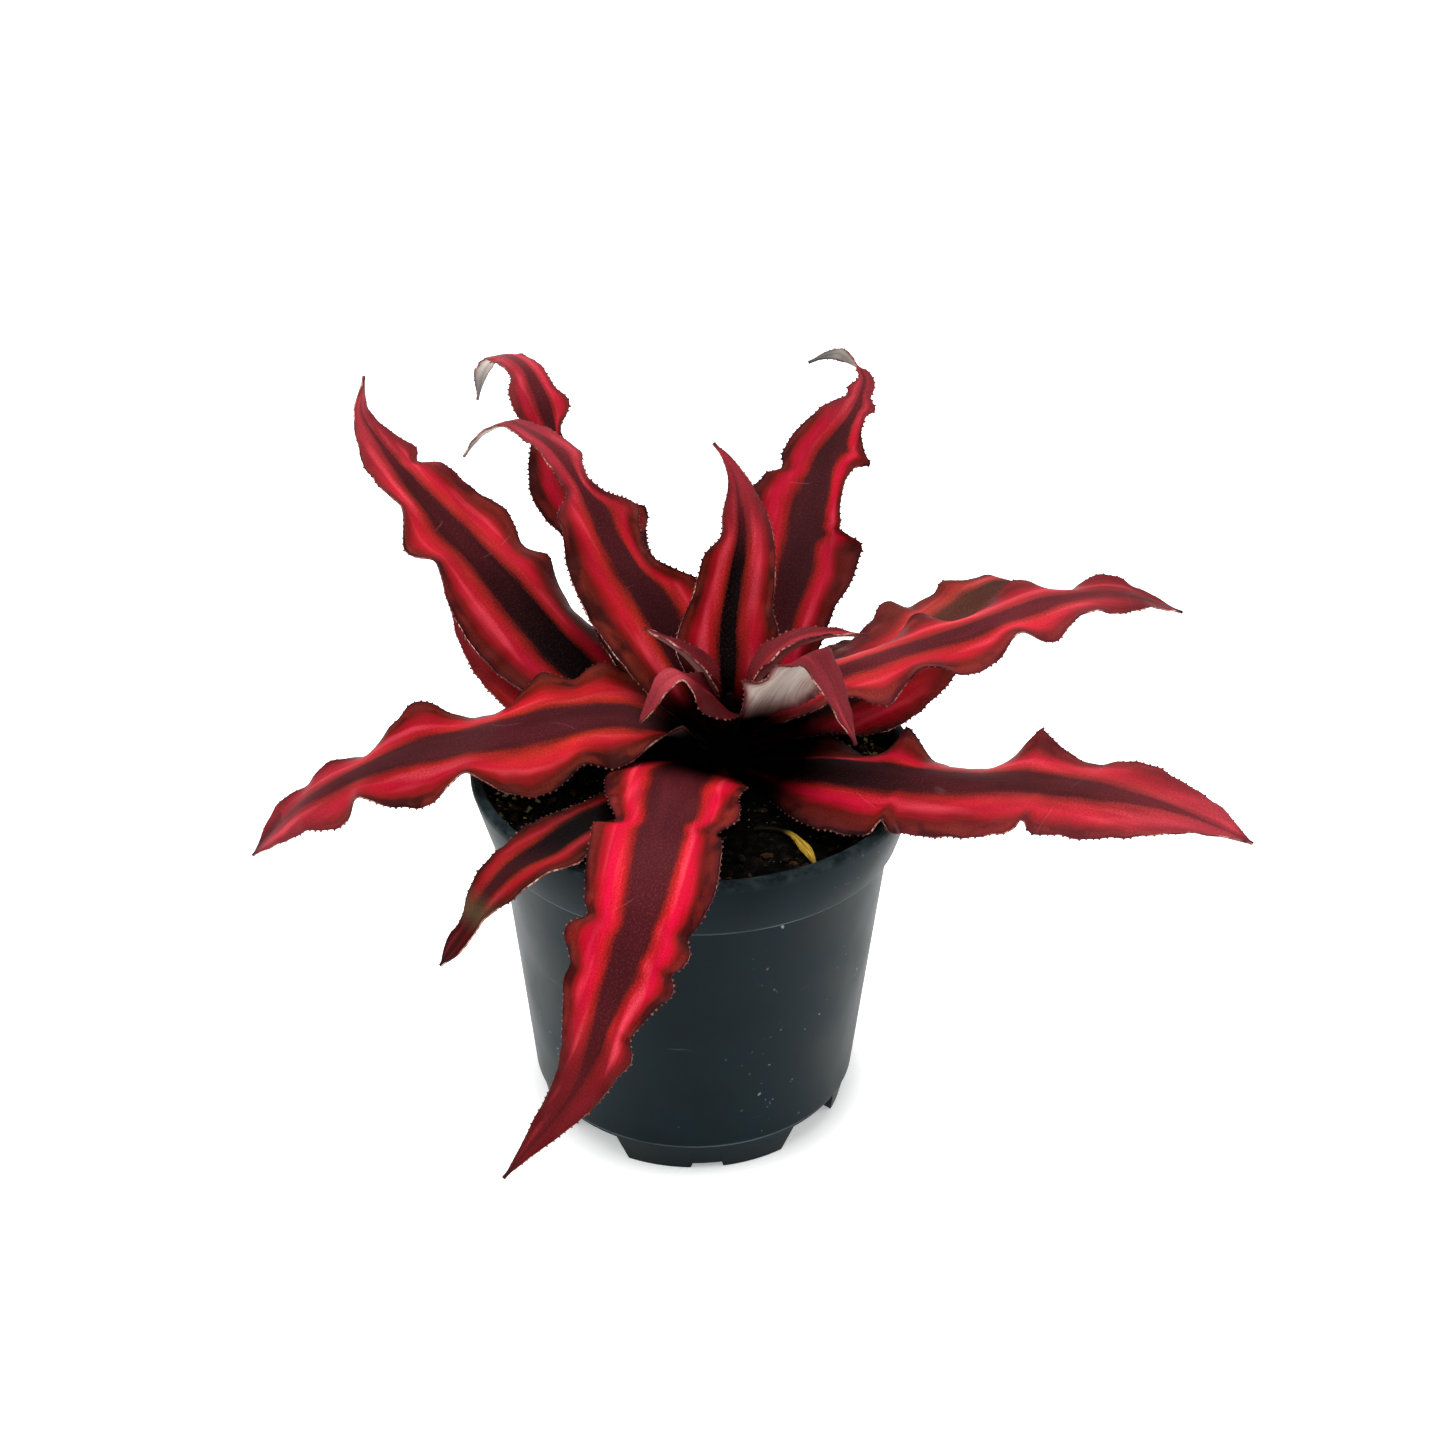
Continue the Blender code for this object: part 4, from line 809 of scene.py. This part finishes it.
def make_spine_horn():
    spine_horn = new_material("spine root, brown horn", "#6A2A22", 0.45, 1.5, Specular_IOR_Level=0.2)
    # Spots of 4 mm, so that a few spines in a row share a colour
    spots = add_node("TexNoise", add_node("TexCoord", out="Object"), Scale=260.0, Detail=1.0)
    horn = set_stops(add_node("ValToRGB", spots), (0.35, "#3A1412"), (0.52, "#6A2A22"), (0.68, "#8C4C3E"))
    # The crown's painted shade darkens the spines near the stem
    shade(Base_Color=add_node("Mix", 1.0, _6=horn, _7=crown_shade(), **DIMMED))
    return spine_horn


# %% The dead leaf
# A dry blade: straw, matt, with the fibres standing out; its base, which lies under the leaves, is drawn
# near black as painted shade
def make_straw():
    straw = new_material("dead leaf, straw", "#C8A540", 0.65, 1.45, Specular_IOR_Level=0.1)
    along = add_node("Attribute", attribute_name="along", out="Fac")
    fibres = blade_noise(6, 0.3, 3.0)
    skin = set_stops(add_node("ValToRGB", fibres), (0.3, "#7A5A1A"), (0.5, "#AC8828"), (0.7, "#D2B34C"))
    tip = add_node("MapRange", along, 0.8, 1, 0, 0.8)
    # Painted shade: the root half drawn near black, where the leaves shadow it
    root = add_node("MapRange", along, 0.3, 0.52, 0.99, 0, **SMOOTH)
    for factor, coat in ((tip, "#5A3A18"), (root, "#060403")):
        skin = add_node("Mix", factor, _6=skin, _7=coat, **OVER)
    shade(Base_Color=skin, Normal=add_node("Bump", Height=fibres, Strength=0.5, Distance=0.2 * MM))
    return straw


BLADE_FINISHES = make_banded(), make_silver(), make_edge()
straw, spine_horn = make_straw(), make_spine_horn()
print("leaf materials:", [made.name for made in (*BLADE_FINISHES, straw, spine_horn)])

# %% [markdown]
# ## Modelling a leaf
#
# A real leaf could be sculpted, but a grid that a formula bends is faster and stays true to the CAD. A
# grid primitive gives clean rows along and across. Its vertices are moved onto the blade's surface, and
# a Solidify modifier gives it a wall, thinner towards the margin, with the silver underside and the
# horny edge as second and third material. Each vertex carries its place along and across for the looks.

# %% Steps that come back with every piece
def only(piece):
    """Makes that piece the only one selected, and the active one."""
    bpy.ops.object.select_all(action="DESELECT")
    piece.select_set(True)
    bpy.context.view_layer.objects.active = piece


def apply_modifier(piece, kind, **settings):
    """Adds a modifier with those settings and applies it."""
    only(piece)
    modifier = piece.modifiers.new(kind.lower(), kind)
    for name, value in settings.items():
        setattr(modifier, name, value)
    bpy.ops.object.modifier_apply(modifier=modifier.name)


def smooth_shading(piece, degrees):
    """Smooth faces, with a sharp edge wherever they meet at more than that angle."""
    only(piece)
    bpy.ops.object.shade_smooth_by_angle(angle=math.radians(degrees))


def edit_all():
    bpy.ops.object.mode_set(mode="EDIT")
    bpy.ops.mesh.select_all(action="SELECT")


def end_edit():
    bpy.ops.object.mode_set(mode="OBJECT")


def set_down(name, mesh, matrix):
    """A new object of that mesh, moved by the matrix."""
    mesh.transform(matrix)
    made = bpy.data.objects.new(name, mesh)
    scene.collection.objects.link(made)
    return made


def join(first, others):
    only(first)
    for other in others:
        other.select_set(True)
    bpy.ops.object.join()


# %% One blade
THICKNESS, MARGIN_THINNING = 0.8, 0.5
VERTEX_SPACING = 0.85
CELLS_ACROSS = 26
NOISE_SHIFT = 40  # centimetres of noise from one leaf to the next


def carry_looks(mesh, leaf, along, across, half_width, length):
    """Writes on the mesh what the materials read: numbers, and a flat place in centimetres."""
    look = LOOKS.get(leaf.name, Look())
    shares = smooth(look.stripes, along)
    stripe, brown = np.where((across > 0)[:, None], shares[:, :2], shares[:, 2:]).T
    numbers = {"along": along, "across": across, "stripe": stripe, "brown": brown}
    for field in fields(Look)[1:]:
        numbers[field.name] = smooth(getattr(look, field.name), along)[:, 0]
    for name, values in numbers.items():
        mesh.attributes.new(name, "FLOAT", "POINT").data.foreach_set("value", values.astype(np.float32))
    shift = NOISE_SHIFT * ALL_LEAVES.index(leaf)
    flat = np.stack([along * length / MM_PER_CM + shift, across * half_width / MM_PER_CM], 1)
    corners = np.zeros(len(mesh.loops), int)
    mesh.loops.foreach_get("vertex_index", corners)
    layer = mesh.uv_layers[0]
    layer.name = "blade"
    layer.data.foreach_set("uv", flat[corners].astype(np.float32).ravel())


def make_blade(leaf):
    bpy.ops.mesh.primitive_grid_add(x_subdivisions=round(length_of(leaf) / VERTEX_SPACING),
                                    y_subdivisions=CELLS_ACROSS, size=2.0)
    blade = bpy.context.object
    blade.name = leaf.name.replace("leaf_", "") + "_leaf"
    mesh = blade.data
    flat = np.zeros(len(mesh.vertices) * 3)
    mesh.vertices.foreach_get("co", flat)
    along, across = (flat[0::3] + 1) / 2, flat[1::3]
    points, half_width, length = blade_points(leaf, along, across)
    mesh.vertices.foreach_set("co", points.ravel())
    carry_looks(mesh, leaf, along, across, half_width, length)
    wall = blade.vertex_groups.new(name="wall")
    for index, side in enumerate(np.abs(across)):
        wall.add([index], 1 - MARGIN_THINNING * side**3, "REPLACE")
    for finish in (straw,) * 3 if leaf.slot == "leaf_dead" else BLADE_FINISHES:
        mesh.materials.append(finish)
    apply_modifier(blade, "SOLIDIFY", thickness=THICKNESS * MM, offset=0.0, vertex_group="wall",
                   material_offset=1, material_offset_rim=2)
    smooth_shading(blade, 50)
    return blade


# %% [markdown]
# ## Spines
#
# Each margin is set with short blunt spines, some 1.6 mm apart. One is modelled: a cone that is
# pressed flat, as thin as the leaf's edge. It is copied along both margins of every leaf, about 2,300
# times, so it has only eight faces.

# %% One spine
# Up is off the margin, and +X is towards the leaf's tip. The foot of the cone is sunk into the edge.
bpy.ops.mesh.primitive_cone_add(vertices=6, radius1=0.56 * MM, radius2=0.22 * MM, depth=0.75 * MM,
                                location=(0, 0, 0.1 * MM))
spine_model = bpy.context.object
bpy.ops.object.transform_apply(location=True)
edit_all()
bpy.ops.transform.resize(value=(1, 0.4, 1), center_override=(0, 0, 0))
end_edit()
spine_model.data.materials.append(spine_horn)
print("one spine:", len(spine_model.data.polygons), "faces,", round(spine_model.dimensions.z / MM, 2), "mm")

# %% Spines along a margin
SPINE_SPACING = 1.6
SPINE_SCALE = 0.85
FIRST_SPINE = 0.09  # the place along where they begin
BARE_TIP = 1.5
RIM_SAMPLES = 1200


def spine_places(leaf, side, draw):
    """A matrix for each spine of that margin: its place, its three directions and its size."""
    steps = np.linspace(0, 1, RIM_SAMPLES)
    rim, inside = (blade_points(leaf, steps, np.full(RIM_SAMPLES, side * out))[0] for out in (1.0, 0.94))
    travelled = lengths_along(rim) / MM
    forward = unit(np.gradient(rim, axis=0))
    place, end = travelled[np.searchsorted(steps, FIRST_SPINE)], travelled[-1] - BARE_TIP
    while place < end:
        i = np.searchsorted(travelled, place)
        ahead, outward = forward[i], rim[i] - inside[i]
        outward = unit(outward - ahead * (outward @ ahead))
        size = SPINE_SCALE * draw.uniform(0.75, 1.15) * min(1.0, 0.45 + (end - place) / 40)
        matrix = np.eye(4)
        matrix[:3, :3] = np.stack([ahead, np.cross(outward, ahead), outward], 1) * size
        matrix[:3, 3] = rim[i]
        yield Matrix(matrix.tolist())
        place += SPINE_SPACING * draw.uniform(0.8, 1.25)


def add_spines(blade, leaf):
    """Copies the spine along both margins and joins the copies to the blade."""
    draw = random.Random(leaf.name)
    copies = [set_down("spine", spine_model.data.copy(), matrix)
              for side in (1, -1) for matrix in spine_places(leaf, side, draw)]
    join(blade, copies)
    return len(copies)


# %% All the leaves
spines = 0
for leaf in ALL_LEAVES:
    blade = make_blade(leaf)
    if leaf.spines:
        spines += add_spines(blade, leaf)
    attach(blade, "root")
    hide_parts(leaf.name)
bpy.data.objects.remove(spine_model)
print("leaves:", len(ALL_LEAVES), "spines:", spines)

# %% [markdown]
# ## The pot
#
# A nursery pot is moulded polypropylene: a thin tapered cup with a rolled lip, a rim band that steps in,
# and a skirt of four short feet with a seam above them. It is turned like a lathe piece: a ring of
# vertices is extruded from point to point of a profile. The feet are what the gaps cut from the skirt
# leave, so they are Boolean cuts, and a small bevel then rounds every edge as the mould does.

# %% Turning a profile
def turn_profile(name, profile, steps, centre):
    """Extrudes a ring along a profile of (radius, height) in millimetres and caps both of its ends."""
    radius, height = profile[0]
    bpy.ops.mesh.primitive_circle_add(vertices=steps, radius=radius * MM, fill_type="NGON",
                                      location=centre + Vector((0, 0, height * MM)))
    made = bpy.context.object
    made.name = name
    bpy.ops.object.transform_apply(location=True)
    edit_all()
    bpy.ops.mesh.select_mode(type="EDGE")
    for next_radius, next_height in profile[1:]:
        rise, grow = (next_height - height) * MM, next_radius / radius
        bpy.ops.mesh.extrude_edges_move(TRANSFORM_OT_translate={"value": (0, 0, rise)})
        middle = centre + Vector((0, 0, next_height * MM))
        bpy.ops.transform.resize(value=(grow, grow, 1), center_override=middle)
        radius, height = next_radius, next_height
    bpy.ops.mesh.edge_face_add()
    bpy.ops.mesh.select_all(action="SELECT")
    bpy.ops.mesh.normals_make_consistent(inside=False)
    end_edit()
    return made


# %% The pot's sizes, from the CAD
POT_HEIGHT, RIM_RADIUS, BAND_FOOT, BAND_FOOT_RADIUS = 92.0, 52.5, 76.0, 48.6
BODY_TOP_RADIUS, SEAM_HEIGHT, SEAM_RADIUS, FOOT_RADIUS = 46.5, 7.5, 39.4, 37.4
WALL, LIP, SKIRT, FLOOR_TOP = 1.6, 2.6, 2.4, 9.1
CAP_RADIUS = 6.0
POT_PROFILE = (
    (CAP_RADIUS, FLOOR_TOP), (SEAM_RADIUS - WALL, FLOOR_TOP), (BODY_TOP_RADIUS - WALL, BAND_FOOT),
    (BAND_FOOT_RADIUS - WALL, BAND_FOOT + 1.5), (RIM_RADIUS - LIP, POT_HEIGHT - 2.0),
    (RIM_RADIUS - LIP, POT_HEIGHT - 0.5), (RIM_RADIUS - LIP + 0.5, POT_HEIGHT),
    (RIM_RADIUS - 0.6, POT_HEIGHT), (RIM_RADIUS, POT_HEIGHT - 0.6), (RIM_RADIUS, POT_HEIGHT - 2.0),
    (BAND_FOOT_RADIUS, BAND_FOOT + 0.5), (BAND_FOOT_RADIUS - 0.5, BAND_FOOT),
    (BODY_TOP_RADIUS, BAND_FOOT), (SEAM_RADIUS + 0.2, SEAM_HEIGHT + 0.8),
    (SEAM_RADIUS - 0.4, SEAM_HEIGHT), (FOOT_RADIUS, 0.0), (FOOT_RADIUS - SKIRT, 0.0),
    (SEAM_RADIUS - SKIRT - 0.4, SEAM_HEIGHT), (CAP_RADIUS, SEAM_HEIGHT),
)
pot = turn_profile("nursery_pot", POT_PROFILE, 160, AXIS)
print("turned pot:", len(pot.data.polygons), "faces")

# %% Cutting the feet, the notches and the drain holes
FIRST_GAP = -40.0
GAP = {"low_width": 21.0, "high_width": 15.5, "height": 6.9}
NOTCH = {"low_width": 9.0, "high_width": 7.0, "height": 1.6}
HOLE_RADIUS, HOLE_FROM_AXIS = 4.0, 29
UNDER_FLOOR = 2.0  # how far the tools reach below the floor


def cut_with(target, tool):
    apply_modifier(target, "BOOLEAN", operation="DIFFERENCE", solver="EXACT", object=tool)
    bpy.data.objects.remove(tool)


def block_across_skirt(azimuth, low_width, high_width, height):
    """A block from under the floor up to that height, narrower at its top, across the skirt."""
    turn = math.radians(azimuth)
    out = (SEAM_RADIUS + FOOT_RADIUS - SKIRT) / 2 * MM
    bpy.ops.mesh.primitive_cube_add(size=1.0, location=(0, 0, 0),
                                    scale=(16 * MM, low_width * MM, (height + UNDER_FLOOR) * MM))
    block = bpy.context.object
    bpy.ops.object.transform_apply(scale=True)
    for vertex in block.data.vertices:
        if vertex.co.z > 0:
            vertex.co.y *= high_width / low_width
    block.rotation_euler.z = turn
    middle_height = (height - UNDER_FLOOR) / 2 * MM
    block.location = AXIS + Vector((out * math.cos(turn), out * math.sin(turn), middle_height))
    bpy.context.view_layer.update()
    return block


for quarter in range(4):
    azimuth = FIRST_GAP + 90.0 * quarter
    turn = math.radians(azimuth)
    cut_with(pot, block_across_skirt(azimuth, **GAP))
    cut_with(pot, block_across_skirt(azimuth + 45.0, **NOTCH))
    middle = Vector((HOLE_FROM_AXIS * math.cos(turn), HOLE_FROM_AXIS * math.sin(turn), SEAM_HEIGHT + 1))
    bpy.ops.mesh.primitive_cylinder_add(vertices=32, radius=HOLE_RADIUS * MM, depth=8.0 * MM,
                                        location=AXIS + middle * MM)
    cut_with(pot, bpy.context.object)
apply_modifier(pot, "BEVEL", width=0.3 * MM, segments=2, angle_limit=math.radians(28))
smooth_shading(pot, 35)
print("pot:", len(pot.data.polygons), "faces,", [round(side / MM, 1) for side in pot.dimensions])

# %% [markdown]
# The plastic is blue-black and satin, with the marks of a used pot: a rough lip that soil and watering
# have dulled, faint cloudy patches, fine level scratches, pale scuffs and painted highlights on two edges.

# %% Pot plastic
# Moulded polypropylene: a satin surface that picks up fine scratches and chalky scuffs
def make_plastic():
    plastic = new_material("moulded polypropylene, blue-black", "#0C1116", 0.36, 1.34,
                           Specular_IOR_Level=0.075)
    # Clouds of 22 mm, pits of 0.7 mm, specks of 2.4 mm, and hairs that lie level, 1 mm high
    place = add_node("TexCoord", out="Object")
    clouds = add_node("TexNoise", place, Scale=45.0, Detail=4.0)
    pits = add_node("TexNoise", place, Scale=1400.0, Detail=2.0)
    specks = add_node("TexNoise", place, Scale=420.0, Detail=3.0)
    hairs = add_node("TexNoise", add_node("Mapping", place, Scale=(60, 60, 900)), Scale=1.0, Detail=3.0)
    height = add_node("SeparateXYZ", place, out="Z")
    # The dulled lip, the scuffs and the scratches
    lip = add_node("MapRange", height, (POT_HEIGHT - 2.5) * MM, (POT_HEIGHT - 0.8) * MM)
    dull = add_node("Mix", add_node("MapRange", specks, 0.35, 0.65), _6="#12181C", _7="#2A3234", **OVER)
    on_lip = add_node("Math", lip, 0.75, operation="MULTIPLY")
    chalky = add_node("MapRange", specks, 0.68, 0.74)
    patches = add_node("MapRange", clouds, 0.55, 0.66)
    scuffs = add_node("Math", chalky, patches, operation="MULTIPLY")
    scratches = add_node("MapRange", hairs, 0.74, 0.84, 0, 0.3)
    coats = [(on_lip, dull), (scuffs, "#8C949A"), (scratches, "#5A646A")]
    # Painted highlight: thin pale lines along the band's foot and the seam, broken up by the clouds
    painted_highlight_patches = add_node("MapRange", clouds, 0.35, 0.6, 0.3, 1)
    for edge_height in (BAND_FOOT + 0.3, SEAM_HEIGHT + 0.6):
        on_edge = add_node("MapRange", off_from(height, edge_height * MM), 0.15 * MM, 0.6 * MM, 0.5, 0)
        coats.append((add_node("Math", on_edge, painted_highlight_patches, operation="MULTIPLY"), "#5E6E72"))
    body = add_node("Mix", add_node("MapRange", clouds, 0.35, 0.7), _6="#030F13", _7="#06181E", **OVER)
    for factor, coat in coats:
        body = add_node("Mix", factor, _6=body, _7=coat, **OVER)
    gloss = add_node("MapRange", clouds, 0.3, 0.7, 0.32, 0.44)
    rough_lip = add_node("Math", lip, 0.25, operation="MULTIPLY")
    relief = add_node("Math", lip, 0.6, operation="MULTIPLY")
    pitted = add_node("Bump", Height=pits, Strength=0.12, Distance=0.05 * MM)
    shade(Base_Color=body, Roughness=add_node("Math", gloss, rough_lip, operation="ADD"),
          Normal=add_node("Bump", Height=specks, Strength=relief, Distance=0.3 * MM, Normal=pitted))
    return plastic


pot.data.materials.append(make_plastic())
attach(pot, "root")
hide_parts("pot")
print("pot finish:", pot.data.materials[0].name)

# %% [markdown]
# ## The soil
#
# Potting peat is a dark, crumbly mat with bits of bark and a few pale flecks. The mat is a turned piece
# with close rings whose vertices are pushed up and down by noise. The crumbs on it are a squashed
# icosphere, modelled once and copied some 500 times, turned and sized at random from a fixed seed.

# %% The mat of peat
SOIL_TOP = 85.0
SOIL_RADIUS = 49.0
SOIL_RINGS = 48


def soil_rise(x, y):
    """How far the soil stands above its mean height at that place, all in millimetres: 0 at the wall."""
    coarse = noise.noise((x / 16, y / 16, 0.3)) * 1.6
    crumbs = noise.fractal((x / 4.2, y / 4.2, 5.1), 0.8, 2.1, 3) * 1.1
    return (coarse + crumbs) * min(1.0, (SOIL_RADIUS - math.hypot(x, y)) / 3)


rings = [(SOIL_RADIUS * (1 - ring / SOIL_RINGS) + 0.6, SOIL_TOP) for ring in range(SOIL_RINGS)]
soil = turn_profile("peat", [(38.0, 9.6), (44.3, 76.0)] + rings, 150, AXIS)
for vertex in soil.data.vertices:
    x, y, z = (vertex.co - AXIS) / MM
    if z > SOIL_TOP - 1 and SOIL_RADIUS - math.hypot(x, y) > 0.5:
        vertex.co.z += soil_rise(x, y) * MM
smooth_shading(soil, 40)
print("peat mat:", len(soil.data.polygons), "faces")


# %% Peat and crumbs
# Sphagnum peat with bark: dark and matt when damp, lighter brown where it dries
def make_peat(name, dark, mid, pale, fleck):
    peat = new_material(name, mid, 0.92, 1.4, Specular_IOR_Level=0.05)
    # Lumps of 2.4 mm, and flecks of 1 mm in patches of 8 mm
    place = add_node("TexCoord", out="Object")
    lumps = add_node("TexNoise", place, Scale=420.0, Detail=5.0)
    flecks = add_node("MapRange", add_node("TexNoise", place, Scale=900.0, Detail=1.0), 0.7, 0.76)
    patches = add_node("MapRange", add_node("TexNoise", place, Scale=120.0, Detail=2.0), 0.45, 0.6)
    flecks = add_node("Math", flecks, patches, operation="MULTIPLY")
    crumbly = set_stops(add_node("ValToRGB", lumps), (0.3, dark), (0.5, mid), (0.68, pale))
    shade(Base_Color=add_node("Mix", flecks, _6=crumbly, _7=fleck, **OVER),
          Normal=add_node("Bump", Height=lumps, Strength=0.9, Distance=0.6 * MM))
    return peat


# The soil's peat is drawn near black: damp peat is dark, and painted shade adds the shadow of the leaves
# over it
soil.data.materials.append(make_peat("sphagnum peat, damp", "#010101", "#050403", "#120E0A", "#8E8E50"))
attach(soil, "root")
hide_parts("soil")
print("soil finish:", soil.data.materials[0].name)

# %% One crumb
CRUMB_KINDS = (
    make_peat("bark crumb, dark", "#0A0705", "#17100B", "#302218", "#6A5A3A"),
    make_peat("bark crumb, brown", "#180F0A", "#302016", "#503A28", "#8A7A50"),
    make_peat("moss and husk fleck, pale", "#6A6A38", "#9A9458", "#C4BC86", "#D8D2A8"),
)
bpy.ops.mesh.primitive_ico_sphere_add(subdivisions=1, radius=1.0 * MM, location=(0, 0, 0))
crumb_model = bpy.context.object
edit_all()
bpy.ops.transform.resize(value=(1.25, 0.85, 0.55), center_override=(0, 0, 0))
end_edit()
for kind in CRUMB_KINDS:
    crumb_model.data.materials.append(kind)
print("one crumb:", len(crumb_model.data.polygons), "faces in", len(CRUMB_KINDS), "kinds")

# %% Crumbs on the soil
# Pale husks gather in two mossy spots, where every sixth crumb falls, and bark lies all over
MOSSY_SPOTS = ((44, 17), (-43, -8))
MOSSY_RADIUS = 9
MIX_ON_MOSS, MIX_ON_PEAT = (25, 15, 60), (60, 34, 6)
CRUMB_COUNT = 520
LITTER_RADIUS = SOIL_RADIUS - 2.5


def crumb_place(draw, on_moss):
    """Where a crumb falls on the soil, in millimetres."""
    if not on_moss:
        out, turn = LITTER_RADIUS * math.sqrt(draw.random()), draw.uniform(0, 2 * math.pi)
        return out * math.cos(turn), out * math.sin(turn)
    spot = draw.choice(MOSSY_SPOTS)
    x, y = spot[0] + draw.gauss(0, 3), spot[1] + draw.gauss(0, 4)
    pulled_in = min(1.0, LITTER_RADIUS / math.hypot(x, y))
    return x * pulled_in, y * pulled_in


draw = random.Random(11)
crumbs = []
for count in range(CRUMB_COUNT):
    x, y = crumb_place(draw, on_moss=count % 6 == 0)
    mossy = min(math.dist((x, y), spot) for spot in MOSSY_SPOTS) < MOSSY_RADIUS
    kind = draw.choices((0, 1, 2), MIX_ON_MOSS if mossy else MIX_ON_PEAT)[0]
    size = draw.uniform(0.35, 1.5) if kind < 2 else draw.uniform(0.3, 0.75)
    spin = Matrix.Rotation(draw.uniform(0, 6.28), 4, "Z") @ Matrix.Rotation(draw.uniform(-0.6, 0.6), 4, "X")
    mesh = crumb_model.data.copy()
    for vertex in mesh.vertices:
        vertex.co *= size * draw.uniform(0.8, 1.25)
    for face in mesh.polygons:
        face.material_index = kind
    place = AXIS + Vector((x, y, SOIL_TOP + soil_rise(x, y) + 0.1 * size)) * MM
    crumbs.append(set_down("crumb", mesh, Matrix.Translation(place) @ spin))
bpy.data.objects.remove(crumb_model)
litter = crumbs[0]
join(litter, crumbs)
litter.name = "bark_crumbs"
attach(litter, "root")
print("crumbs:", len(crumbs), "copies,", len(litter.data.polygons), "faces")

# %% [markdown]
# ## The stem
#
# Little of the stem shows: a stub wrapped in the brown bases of old leaves, which carries the star. It is
# turned from the CAD's profile, a touch fuller, and its wrapping is drawn by noise stretched upwards.

# %% The stem
# Dead leaf bases: dry brown sheaths, fibrous and matt, drawn near black as painted shade, since the crown's
# shadow hides them
STEM_PROFILE = ((4.4, 74.0), (4.5, 86.0), (4.5, 92.0), (4.2, 96.0), (3.8, 99.5), (2.8, 103.0), (1.7, 106.0),
                (0.7, 108.2))
stem = turn_profile("stem_stub", STEM_PROFILE, 40, AXIS + Vector((*CROWN, 0)) * MM)
smooth_shading(stem, 60)
stem.data.materials.append(new_material("dry leaf sheath", "#3A1C16", 0.95, Specular_IOR_Level=0.02))
fibre_place = add_node("Mapping", add_node("TexCoord", out="Object"), Scale=(900, 900, 120))
fibres = add_node("TexNoise", fibre_place, Scale=1.0, Detail=4.0)
sheath = set_stops(add_node("ValToRGB", fibres), (0.3, "#080404"), (0.5, "#160A08"), (0.7, "#2C1810"))
shade(Base_Color=add_node("Mix", 1.0, _6=sheath, _7=crown_shade(), **DIMMED),
      Normal=add_node("Bump", Height=fibres, Strength=0.8, Distance=0.4 * MM))
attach(stem, "root")
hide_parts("stem")
print("stem:", len(stem.data.polygons), "faces")

# %% [markdown]
# ## Sizes
#
# The dressed model keeps the size that the CAD gives, and both boxes are printed.

# %% Both boxes
scene_box = [list(corner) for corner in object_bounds()]
for title, box in (("CAD", cad_box), ("scene", scene_box)):
    print(title, [[round(value / MM, 1) for value in corner] for corner in box])
